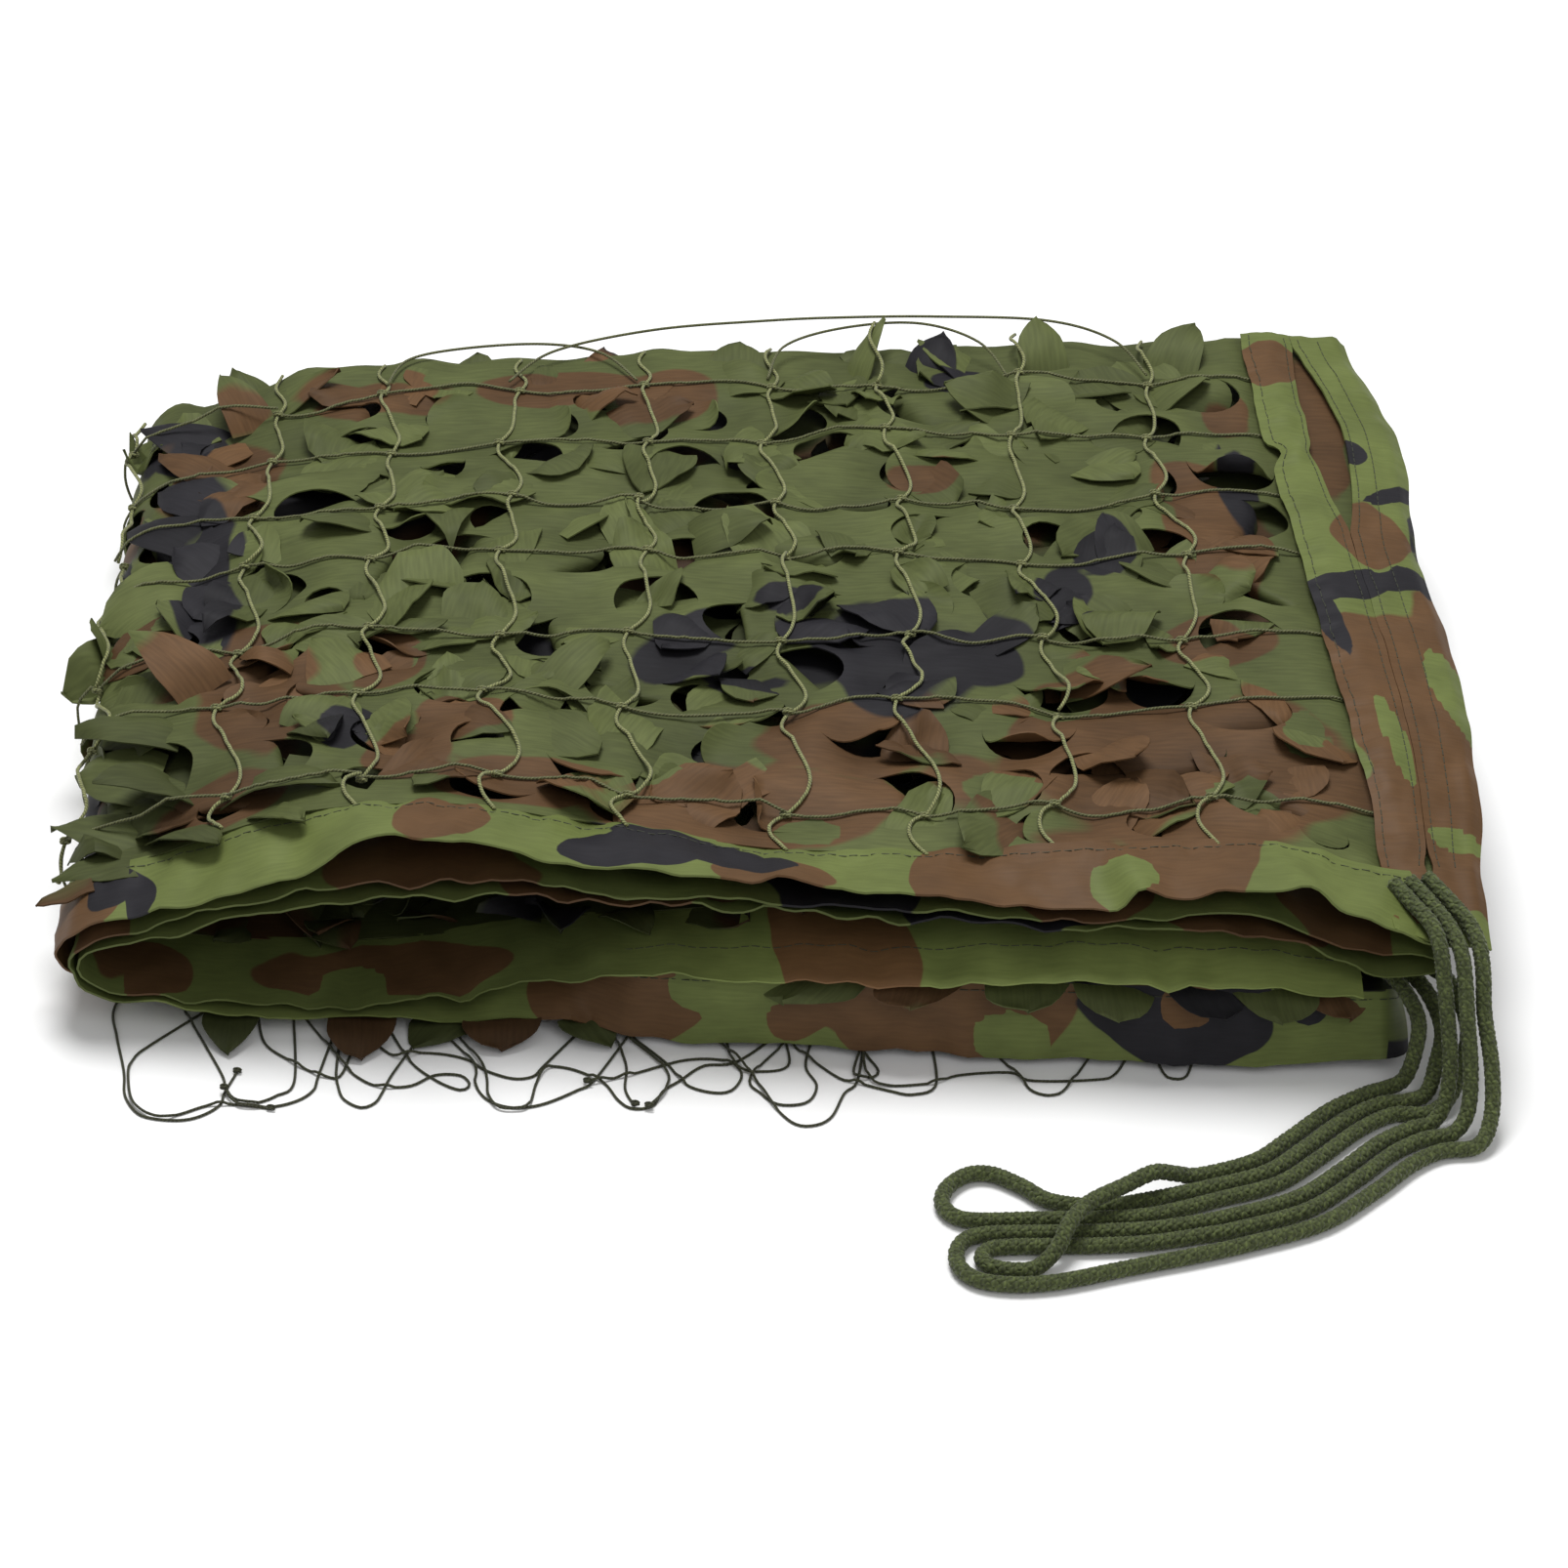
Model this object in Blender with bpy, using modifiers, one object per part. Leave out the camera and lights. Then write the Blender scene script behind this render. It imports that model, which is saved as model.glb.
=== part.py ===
"""Camouflage net, folded into a flat stack of six layers.

The cloth is one long sheet that runs back and forth: it starts at the top right, wraps round
the left end to the bottom, and nests two more times inside that wrap. A sewn tape edges all of
its layers along the front, a wide band edges the end of the top layer on the right, a knotted
cord mesh lies over the cloth's outer face, and a drawcord leaves the right front corner.

Run it with blender --background --python part.py, or from Blender's text editor.
Blender works in metres. The sizes and tables here are in millimetres and pass through MM once.
+X is the stack's right, +Y its back and +Z up. The origin is the middle of its underside, with
the slack rows counted and the drawcord not. The tables measure y from a line 6.5 mm behind it.
"""

import math
import random
from collections import namedtuple

import bmesh
import bpy
from mathutils import Matrix, Vector, noise

MM = 0.001
TABLES_BACK = 6.5

CLOTH = 1.0
TAPE = 1.2
TAPE_GAP = 0.4
BED_DEPTH = 60.0
WAVE_LENGTH = 90.0
WAVE_HEIGHT = 1.2

TOP, SECOND, THIRD, FOURTH, FIFTH, BOTTOM = range(1, 7)

Line = namedtuple("Line", "x y")
FRONT_LINE = (
    Line(-210, -137),
    Line(-141, -140),
    Line(-78, -141),
    Line(-50, -145),
    Line(20, -153),
    Line(108, -161),
    Line(178, -166),
    Line(215, -163),
)
REAR_LINE = (
    Line(-210, 150),
    Line(-173, 157),
    Line(-100, 161),
    Line(0, 166),
    Line(100, 170),
    Line(215, 168),
)

# One row for each place along a layer. edge_in and edge_z put the tape's outer edge behind the
# front line and above the floor, seam_in and seam_z its sewn edge, and bed_z is the cloth's
# height away from the front.
Place = namedtuple("Place", "x edge_in edge_z seam_in seam_z bed_z")
LAYERS = {
    TOP: (
        Place(-188, 0, 42, 29, 43, 52),
        Place(-141, 0, 56, 29, 60, 60),
        Place(-103, -1, 72, 26, 66, 62),
        Place(-62, 0, 63, 29, 60, 62),
        Place(0, 0, 62, 29, 54, 61),
        Place(45, 0, 58, 29, 54, 61),
        Place(94, 0, 56, 28, 60, 62),
        Place(142, 0, 66, 30, 61, 63),
        Place(178, 0, 53, 29, 53, 62),
        Place(196, 1, 45, 29, 52, 61),
        Place(215, 2, 43, 30, 50, 57),
    ),
    SECOND: (
        Place(-188, 0, 37, 29, 40, 45),
        Place(-141, 0, 51, 29, 52, 51),
        Place(-103, 0, 56, 29, 55, 52),
        Place(-62, 0, 55, 29, 57, 52),
        Place(0, 1, 54, 30, 49, 52),
        Place(45, 1, 53, 30, 49, 52),
        Place(94, 1, 52, 29, 55, 53),
        Place(142, 1, 55, 30, 55, 54),
        Place(178, 1, 43, 30, 47, 53),
    ),
    THIRD: (
        Place(-188, 0, 32, 29, 35, 39),
        Place(-141, 0, 46, 29, 47, 43),
        Place(-103, 0, 50, 29, 49, 44),
        Place(-62, 1, 50, 30, 50, 44),
        Place(0, 2, 49, 31, 44.5, 44),
        Place(45, 2, 49, 31, 44.5, 44),
        Place(94, 1, 48, 30, 49, 45),
        Place(142, 1, 49, 30, 49, 46),
        Place(178, 1, 34, 30, 41, 45),
    ),
    FOURTH: (
        Place(-188, 0, 15, 29, 18, 25),
        Place(-141, 0, 10, 29, 14, 26),
        Place(-103, 0, 13, 29, 16, 28),
        Place(-62, 1, 21, 29, 24, 29),
        Place(0, 0, 33, 29, 34, 30),
        Place(45, 0, 36, 29, 37, 31),
        Place(94, 0, 39, 29, 41, 32),
        Place(142, 1, 38, 29, 41, 32),
        Place(172, 2, 31, 30, 36, 32),
    ),
    FIFTH: (
        Place(-188, 0, 11, 29, 12, 17),
        Place(-141, 0, 6, 29, 9, 17),
        Place(-103, 0, 6, 28, 10, 17),
        Place(-62, 1, 5, 21, 19, 18),
        Place(-40, 1, 3, 9, 22, 19),
        Place(0, 0, 3, 6, 26, 20),
        Place(94, 0, 3, 5, 27, 20),
        Place(142, 0, 3, 6, 27, 20),
        Place(178, 1, 5.5, 10, 24, 19),
    ),
    BOTTOM: (
        Place(-188, 12, 5, 41, 6, 6),
        Place(-141, 14, 3, 43, 3.2, 4),
        Place(0, 14, 3, 43, 3.2, 4),
        Place(178, 14, 3, 43, 3.2, 4),
    ),
}

# A bend joins the ends of two layers at x and reaches sideways past them.
Bend = namedtuple("Bend", "first last x reach")
BENDS = (
    Bend(TOP, BOTTOM, -188, -22),
    Bend(BOTTOM, FIFTH, 178, 9),
    Bend(FIFTH, SECOND, -188, -18),
    Bend(SECOND, THIRD, 178, 17),
    Bend(THIRD, FOURTH, -188, -14),
)
BEND_STEPS = 5
FREE_END_X = 172

FINE_ROWS, FINE_CELLS = 29, 25
COARSE_STOPS = (-188, -164, -141, -122, -103, -82, -62, -42, -18, 10, 50, 94, 138, 178)
COARSE_ROWS, COARSE_CELLS = len(COARSE_STOPS) - 1, 10
CUT_STEP = 3
COARSE_CUT_LAYERS = {BOTTOM: 2, FIFTH: 4, SECOND: 6, THIRD: 4, FOURTH: 2}
CUT_DROP = 4.0
PETAL_DROP = 2.4

CORD = 1.3
CORD_WIDTH = 1.5
KNOT = 3.2
KNOT_HEIGHT = 2.4
CORD_LIFT = 1.0
CORD_SWAY = 5.0
CORD_TUCK = 1.5

# The net's length runs along s: over the top from right to left, round the left end, and back
# under the stack. Columns are places on s, and rows are shares of the depth behind the tape.
WRAP_FROM, WRAP_TO = 188.0, 248.0
WRAP_REACH, WRAP_LIFT = 25.2, 2.2
TOP_COLUMNS = (-132, -85, -44, -4, 40, 83, 124, 164)
WRAP_COLUMNS = (206, 246)
UNDER_COLUMNS = (286, 366, 446, 526, 596)
MESH_ROWS = (0.065, 0.235, 0.36, 0.53, 0.645, 0.785, 0.905)

# Slack rows of the net on the floor, each from x to the next one's x, reaching out in front.
Scallop = namedtuple("Scallop", "x reach")
SCALLOPS = (
    Scallop(-172, 50),
    Scallop(-150, 46),
    Scallop(-110, 40),
    Scallop(-70, 34),
    Scallop(-30, 36),
    Scallop(10, 26),
    Scallop(50, 15),
    Scallop(90, 10),
    Scallop(125, 0),
)
SCALLOP_STEPS = 6

# The end band's columns are its left edge, the slit's two sides, two more and its right edge.
BAND_MIDDLES = (199, 206)
BAND_ROWS_ON_TAPE, BAND_ROWS = 3, 23
SLIT_X = 187.5
SLIT_FROM, SLIT_TO = 0.58, 0.96
SLIT_NARROW, SLIT_WIDE, SLIT_SHUT = 1.0, 5.5, 2.0
CHANNEL_RISE = 1.6
LEFT_LINE = (
    Line(179.5, -140),
    Line(178, -96),
    Line(174, -32),
    Line(170.5, 45),
    Line(167, 92),
    Line(166, 165),
)
RIGHT_LINE = (
    Line(205, -166),
    Line(211, -118),
    Line(214, -60),
    Line(213, -10),
    Line(210, 28),
    Line(212, 67),
    Line(213, 107),
    Line(209, 128),
    Line(201, 172),
)

ROPE = 5.0
ROPE_REST = ROPE / 2 + 0.1
ROPE_OVER = 10.2
ROPE_SPACING = 12.0

# Each row is a place that the middle of a run of rope passes. Six runs hang at the corner, in
# the order c, d, e, a, b and f from left to right, and lie on the floor side by side.
Route = namedtuple("Route", "x y z")
Spot = namedtuple("Spot", "x y")
HANGS = {
    "c": (
        Route(170, -137, 25.9),
        Route(178, -147.5, 27),
        Route(184, -158, 26.6),
        Route(188, -168, 22),
        Route(187, -173, 14),
        Route(184, -175.5, 6),
        Route(179, -175.5, 2.7),
    ),
    "d": (
        Route(176.5, -133.5, 25.5),
        Route(184, -145, 25.8),
        Route(191, -157, 25),
        Route(195, -168.5, 19),
        Route(193, -175, 10.5),
        Route(190, -180, 4),
        Route(183.5, -182, 2.7),
    ),
    "e": (
        Route(182, -130, 24),
        Route(190, -141, 24.6),
        Route(199, -153, 24),
        Route(203, -166, 17),
        Route(200, -176, 8.5),
        Route(196, -182.5, 3.6),
        Route(189, -188, 2.7),
    ),
    "a": (
        Route(181, -147, 55.8),
        Route(186, -155.5, 54),
        Route(190.5, -163.5, 52.2),
        Route(192.5, -169.8, 48),
        Route(193.5, -174, 40),
        Route(194.5, -178.5, 31),
        Route(195.5, -184.5, 18),
        Route(194, -189.5, 8),
        Route(190, -193, 3.2),
    ),
    "b": (
        Route(186, -144.8, 55),
        Route(191.5, -153.5, 52.7),
        Route(196, -162, 50.3),
        Route(198.5, -169.8, 46.8),
        Route(199.5, -175.5, 39.5),
        Route(200, -181, 31),
        Route(201, -187.5, 18),
        Route(200, -194, 8),
        Route(195.5, -198, 3.2),
    ),
    "f": (
        Route(191.2, -142.5, 54.7),
        Route(197, -150.5, 52),
        Route(202, -159, 49.4),
        Route(204.2, -166.5, 46.5),
        Route(205, -172, 40.5),
        Route(205.3, -177.5, 31),
        Route(207.2, -187, 18),
        Route(206.5, -196.5, 8),
        Route(202, -203.8, 3.2),
    ),
}
ROPE_LANE = (
    Spot(173, -178),
    Spot(161, -186),
    Spot(148, -199),
    Spot(137, -209),
    Spot(121, -215),
)
ASIDE = {"c": 0, "d": 6, "e": 12, "a": 20, "b": 26, "f": 33}
UPPER_BIGHT = (
    Route(105, -226, ROPE_REST),
    Route(92, -228.5, ROPE_REST),
    Route(78, -226, ROPE_REST),
    Route(70, -219, ROPE_REST),
    Route(62, -213.5, ROPE_REST),
    Route(55, -213.5, ROPE_REST),
    Route(49, -219, ROPE_REST),
    Route(47, -226, ROPE_REST),
    Route(50, -232, ROPE_REST),
    Route(57, -234.2, ROPE_REST),
    Route(75, -234, ROPE_REST),
    Route(92, -234, ROPE_REST),
    Route(107, -232.5, ROPE_REST),
)
INNER_BIGHT = (
    Route(114, -218.5, 6),
    Route(107, -223, ROPE_OVER),
    Route(98, -229, ROPE_OVER),
    Route(88, -236, ROPE_OVER),
    Route(82, -244.5, ROPE_OVER),
    Route(78, -251, 6),
    Route(72, -255.3, ROPE_REST),
    Route(65, -256.3, ROPE_REST),
    Route(59, -254.3, ROPE_REST),
    Route(57, -250.4, ROPE_REST),
    Route(60, -246.8, ROPE_REST),
    Route(67, -246, ROPE_REST),
    Route(78, -246, ROPE_REST),
    Route(90, -246, ROPE_REST),
    Route(105, -245, ROPE_REST),
    Route(120, -242, ROPE_REST),
)
OUTER_BIGHT = (
    Route(118, -250.5, ROPE_REST),
    Route(105, -254, ROPE_REST),
    Route(94, -257, ROPE_REST),
    Route(84, -260, ROPE_REST),
    Route(75, -262, ROPE_REST),
    Route(65, -262.5, ROPE_REST),
    Route(56, -260.5, ROPE_REST),
    Route(51, -255.5, ROPE_REST),
    Route(50, -248.5, ROPE_REST),
    Route(53, -242.5, ROPE_REST),
    Route(59, -240.3, ROPE_REST),
    Route(67, -240, ROPE_REST),
    Route(78, -240, ROPE_REST),
    Route(90, -239.8, ROPE_REST),
    Route(105, -239, ROPE_REST),
    Route(118, -236.5, ROPE_REST),
)

Material = namedtuple("Material", "colour roughness")
LEAF_CLOTH = Material((0.137, 0.191, 0.069), 0.75)
TAPE_CLOTH = Material((0.162, 0.094, 0.046), 0.7)
BAND_CLOTH = Material((0.195, 0.291, 0.080), 0.7)
MESH_CORD = Material((0.088, 0.103, 0.040), 0.8)
ROPE_CORD = Material((0.048, 0.089, 0.026), 0.85)


def clear_scene():
    for obj in list(bpy.data.objects):
        bpy.data.objects.remove(obj, do_unlink=True)


def smooth_step(value):
    value = min(1.0, max(0.0, value))
    return value * value * (3 - 2 * value)


def read_table(rows, place, key, column):
    """A column of a table, read smoothly at a place on its key column and level past its ends."""
    keys = [getattr(row, key) for row in rows]
    values = [getattr(row, column) for row in rows]
    if place <= keys[0]:
        return values[0]
    if place >= keys[-1]:
        return values[-1]
    index = next(i for i, k in enumerate(keys) if k > place) - 1

    def slope(i):
        low, high = max(0, i - 1), min(len(keys) - 1, i + 1)
        return (values[high] - values[low]) / (keys[high] - keys[low])

    span = keys[index + 1] - keys[index]
    t = (place - keys[index]) / span
    h1, h2 = 2 * t**3 - 3 * t**2 + 1, -2 * t**3 + 3 * t**2
    h3, h4 = t**3 - 2 * t**2 + t, t**3 - t**2
    return (
        h1 * values[index]
        + h2 * values[index + 1]
        + h3 * span * slope(index)
        + h4 * span * slope(index + 1)
    )


def front_y(x):
    return read_table(FRONT_LINE, x, "x", "y")


def rear_y(x):
    return read_table(REAR_LINE, x, "x", "y")


def edge_point(layer, x, which):
    rows = LAYERS[layer]
    back = read_table(rows, x, "x", which + "_in")
    height = read_table(rows, x, "x", which + "_z")
    return Vector((x, front_y(x) + back, height))


def tape_point(layer, x, across):
    """A point of the front tape: across is 0 at its outer edge and 1 at its sewn edge."""
    return edge_point(layer, x, "edge").lerp(edge_point(layer, x, "seam"), across)


def bed_height(layer, x, y, seam):
    bed = read_table(LAYERS[layer], x, "x", "bed_z")
    share = smooth_step((y - seam.y) / BED_DEPTH)
    wave = noise.noise(Vector((x / WAVE_LENGTH, y / WAVE_LENGTH, layer * 0.2 if layer > 1 else 0)))
    flat = 0.0 if layer == BOTTOM else WAVE_HEIGHT * wave * share
    return seam.z + (bed - seam.z) * share + flat


def cloth_gap(layer, x):
    """The gap behind the tape, wider where the tape stands up and its thickness points back."""
    tape = edge_point(layer, x, "seam") - edge_point(layer, x, "edge")
    return TAPE_GAP + TAPE * abs(tape.z) / tape.length


def cloth_point(layer, x, across):
    """A point of the leaf-cut cloth: across is 0 beside the tape and 1 at the rear edge."""
    seam = edge_point(layer, x, "seam")
    start = seam.y + cloth_gap(layer, x)
    y = start + (rear_y(x) - start) * across
    return Vector((x, y, bed_height(layer, x, y, seam)))


def top_height(x, y):
    """The height of the top layer's upper limit, which its petals reach and its cords lie on."""
    return bed_height(TOP, x, y, edge_point(TOP, x, "seam"))


def bend_point(bend, turn, across, point):
    share = (1 - math.cos(turn)) / 2
    found = point(bend.first, bend.x, across).lerp(point(bend.last, bend.x, across), share)
    found.x += bend.reach * math.sin(turn)
    return found


def fine_x(row, y):
    """The top layer's rows, from the end band to the left bend."""
    right = read_table(LEFT_LINE, y, "y", "x") - TAPE_GAP
    return right + (BENDS[0].x - right) * row / FINE_ROWS


def coarse_stops():
    """The stops along the five lower layers and the bends, after the top layer's rows.

    Each is a layer or None, its number there, and a function that takes a point maker and how
    far across the sheet the point lies.
    """
    stops = []
    layers = (BOTTOM, FIFTH, SECOND, THIRD, FOURTH)
    for layer, bend in zip(layers, BENDS):
        for step in range(1, BEND_STEPS):
            turn = math.pi * step / BEND_STEPS
            stops.append((None, step, lambda p, a, b=bend, t=turn: bend_point(b, t, a, p)))
        to_right = layer in (BOTTOM, SECOND, FOURTH)
        for step, x in enumerate(COARSE_STOPS if to_right else COARSE_STOPS[::-1]):
            x = min(x, FREE_END_X) if layer == FOURTH else x
            stops.append((layer, step, lambda p, a, on=layer, at=x: p(on, at, a)))
    return stops


def petal_drop(x, y, across):
    """How far the top layer's cloth lies below the height its petals reach."""
    edge = smooth_step((x + 188) / 50) * smooth_step((165 - x) / 15) * smooth_step(across / 0.08)
    rough = 0.5 + 0.5 * noise.noise(Vector((x / 19, y / 17, 3)))
    return edge * (0.8 + PETAL_DROP * rough)


Cut = namedtuple("Cut", "row cell along lean wide")


def fine_cuts():
    """The top layer's leaf cuts, two cells long each, turned in alternation."""
    chance = random.Random(11)
    cuts = []
    for a, row in enumerate(range(2, FINE_ROWS - 2, CUT_STEP)):
        for b, cell in enumerate(range(1, FINE_CELLS - 2, CUT_STEP)):
            lean = chance.choice((-1, 1)) * chance.uniform(0.15, 0.35)
            cuts.append(Cut(row, cell, (a + b) % 2 == 0, lean, chance.uniform(0.05, 0.2)))
    return cuts


def fine_shifts(cuts):
    """Moves, in cells, that turn each two-cell hole into a crescent with one lifted lip."""
    shifts, holes = {}, set()
    for cut in cuts:
        for end in (0, 1, 2):
            for side in (0, 1):
                inward = (0.40 if end != 1 else cut.wide) * (1 if side == 0 else -1)
                bow = cut.lean if end == 1 else 0.0
                outward = (-0.12, 0.0, 0.12)[end]
                lip = 0.0 if end != 1 else (-1 if (side == 0) == (cut.lean > 0) else 1)
                if cut.along:
                    key = (cut.row + end, cut.cell + side)
                    shifts[key] = (outward, inward + bow, lip)
                else:
                    key = (cut.row + side, cut.cell + end)
                    shifts[key] = (inward + bow, outward, lip)
        holes.add((cut.row, cut.cell))
        holes.add((cut.row + 1, cut.cell) if cut.along else (cut.row, cut.cell + 1))
    return shifts, holes


def coarse_cut(layer, row, cell):
    step = COARSE_CUT_LAYERS[layer]
    inside = 0 < row < COARSE_ROWS - 1 and 0 < cell < COARSE_CELLS - 1
    return inside and row % step == 1 and cell % 2 == 1


def coarse_shift(layer, row, cell):
    """A corner's move, in mm along the layer and cells across it, that narrows a cut beside it."""
    for side_x in (0, 1):
        for side_y in (0, 1):
            if coarse_cut(layer, row - side_x, cell - side_y):
                pull_x = 3.5 if side_x == side_y else 7.5
                pull_y = 0.36 if side_x == side_y else 0.22
                return (pull_x * (1 - 2 * side_x), pull_y * (1 - 2 * side_y))
    return (0.0, 0.0)


def join_rows(mesh, first, second, skipped):
    """Faces between two rows of points, as triangles where their counts differ."""
    if len(first) == len(second):
        for cell in range(len(first) - 1):
            if cell not in skipped:
                mesh.faces.new((first[cell], second[cell], second[cell + 1], first[cell + 1]))
        return
    a = b = 0
    while a < len(first) - 1 or b < len(second) - 1:
        next_a, next_b = (a + 1) / (len(first) - 1), (b + 1) / (len(second) - 1)
        if b == len(second) - 1 or (a < len(first) - 1 and next_a <= next_b):
            mesh.faces.new((first[a], second[b], first[a + 1]))
            a += 1
        else:
            mesh.faces.new((first[a], second[b], second[b + 1]))
            b += 1


def object_from(mesh, name, material, collection):
    data = bpy.data.meshes.new(name)
    mesh.to_mesh(data)
    mesh.free()
    data.shade_smooth()
    obj = bpy.data.objects.new(name, data)
    collection.objects.link(obj)
    paint(obj, name, material)
    return obj


def paint(obj, name, material):
    made = bpy.data.materials.new(name)
    made.use_nodes = True
    shader = made.node_tree.nodes["Principled BSDF"]
    shader.inputs["Base Color"].default_value = (*material.colour, 1)
    shader.inputs["Roughness"].default_value = material.roughness
    shader.inputs["Metallic"].default_value = 0
    obj.data.materials.append(made)


def thicken(obj, thickness, offset=0.0):
    solid = obj.modifiers.new("Thickness", "SOLIDIFY")
    solid.thickness = thickness * MM
    solid.offset = offset
    return solid


def leaf_cloth(collection):
    """The folded leaf-cut sheet: fine on the top layer, coarser on the five below it."""
    mesh = bmesh.new()
    shifts, holes = fine_shifts(fine_cuts())

    def fine_row(row):
        line = []
        for cell in range(FINE_CELLS + 1):
            move_x, move_y, lip = shifts.get((row, cell), (0, 0, 0))
            across = (cell + move_y) / FINE_CELLS
            x = fine_x(row + move_x, cloth_point(TOP, 170, across).y)
            point = cloth_point(TOP, x, across)
            drop = petal_drop(point.x, point.y, across)
            if lip:
                drop = 0.2 if lip > 0 else drop * 0.4 + CUT_DROP * min(1, drop)
            point.z -= drop
            line.append(mesh.verts.new(point * MM))
        return line

    def coarse_row(layer, step, stop):
        line = []
        for cell in range(COARSE_CELLS + 1):
            move_x, move_y = coarse_shift(layer, step, cell) if layer else (0, 0)
            point = stop(cloth_point, (cell + move_y) / COARSE_CELLS)
            point.x += move_x * (1 if layer in (BOTTOM, SECOND, FOURTH) else -1)
            line.append(mesh.verts.new(point * MM))
        return line

    previous, skipped = fine_row(0), set()
    for row in range(1, FINE_ROWS + 1):
        line = fine_row(row)
        join_rows(mesh, previous, line, {cell for r, cell in holes if r == row - 1})
        previous = line
    for layer, step, stop in coarse_stops():
        line = coarse_row(layer, step, stop)
        join_rows(mesh, previous, line, skipped)
        skipped = {c for c in range(COARSE_CELLS) if layer and coarse_cut(layer, step, c)}
        previous = line
    cloth = object_from(mesh, "garnish_cloth", LEAF_CLOTH, collection)
    thicken(cloth, CLOTH)
    return cloth


def front_tape(collection):
    """The tape sewn over the front edge of every layer, one strip that follows the folds."""
    mesh = bmesh.new()
    ends = [fine_x(row, front_y(170) + 29) for row in range(FINE_ROWS + 1)]
    stops = [lambda p, a, at=x: p(TOP, at, a) for x in ends]
    stops += [stop for _, _, stop in coarse_stops()]
    previous = None
    for stop in stops:
        line = [mesh.verts.new(stop(tape_point, across) * MM) for across in (0, 0.5, 1)]
        if previous:
            join_rows(mesh, previous, line, ())
        previous = line
    tape = object_from(mesh, "front_binding", TAPE_CLOTH, collection)
    thicken(tape, TAPE)
    return tape


def half_slit(share):
    """Half the distance between the two columns that border the slit."""
    t = (share - SLIT_FROM) / (SLIT_TO - SLIT_FROM)
    if 0 <= t <= 1:
        return SLIT_NARROW + (SLIT_WIDE - SLIT_NARROW) * math.sin(math.pi * t)
    return SLIT_NARROW + (SLIT_SHUT - SLIT_NARROW) * smooth_step(min(abs(t), abs(t - 1)) * 3)


def band_row(row):
    """One row of the end band's points, counted from its front edge."""
    behind = row - BAND_ROWS_ON_TAPE
    share = max(0, behind) / BAND_ROWS
    wide = half_slit(share)
    line = []
    for column, at in enumerate((180, SLIT_X - wide, SLIT_X + wide, *BAND_MIDDLES, 208)):
        edge, seam = edge_point(TOP, at, "edge"), edge_point(TOP, at, "seam")
        point = edge.lerp(seam, min(1, row / BAND_ROWS_ON_TAPE))
        if behind >= 0:
            point.y += (rear_y(at) - seam.y) * share
            point.z = top_height(at, point.y)
        if column == 0:
            point.x = read_table(LEFT_LINE, point.y, "y", "x")
        elif column == 5:
            point.x = read_table(RIGHT_LINE, point.y, "y", "x")
        elif column in (1, 2):
            point.z += CHANNEL_RISE * smooth_step(share * 8)
        line.append(point * MM)
    return line


def end_band(collection):
    """The wide band on the top layer's end, parted along its inner channel by a long slit."""
    mesh = bmesh.new()
    count = BAND_ROWS_ON_TAPE + BAND_ROWS
    rows = [[mesh.verts.new(point) for point in band_row(row)] for row in range(count + 1)]
    for row, (first, second) in enumerate(zip(rows, rows[1:])):
        share = (row + 0.5 - BAND_ROWS_ON_TAPE) / BAND_ROWS
        join_rows(mesh, first, second, {1} if SLIT_FROM < share < SLIT_TO else ())
    band = object_from(mesh, "end_binding", BAND_CLOTH, collection)
    thicken(band, TAPE)
    return band


def net_x(s):
    """The x that a place on s lies at, or nears on the wrap."""
    return -s if s < WRAP_FROM else max(s - WRAP_TO - WRAP_FROM, -WRAP_FROM)


def net_y(s, share):
    start = edge_point(TOP, net_x(s), "seam").y
    return start + (rear_y(net_x(s)) - start) * share


def net_point(s, y):
    """The inner face of the cord mesh, which it is thickened outwards from."""
    x = net_x(s)
    if s > WRAP_TO:
        return Vector((x, y, CORD))
    lift = CORD_LIFT + (WRAP_LIFT - CORD_LIFT) * smooth_step((s - 140) / 40)
    point = Vector((x, y, top_height(x, y) + lift))
    if s > WRAP_FROM:
        turn = math.pi * (s - WRAP_FROM) / (WRAP_TO - WRAP_FROM)
        point.x -= WRAP_REACH * math.sin(turn)
        point.z += (CORD - point.z) * (1 - math.cos(turn)) / 2
    return point


def net_offset(s, y, along, over):
    """A point of the net's inner face that lies aside from the place s, y by two lengths."""
    way = (net_point(s + 1, y) - net_point(s - 1, y)).normalized()
    return (net_point(s, y) + way * along + Vector((0, over, 0))) * MM


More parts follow.
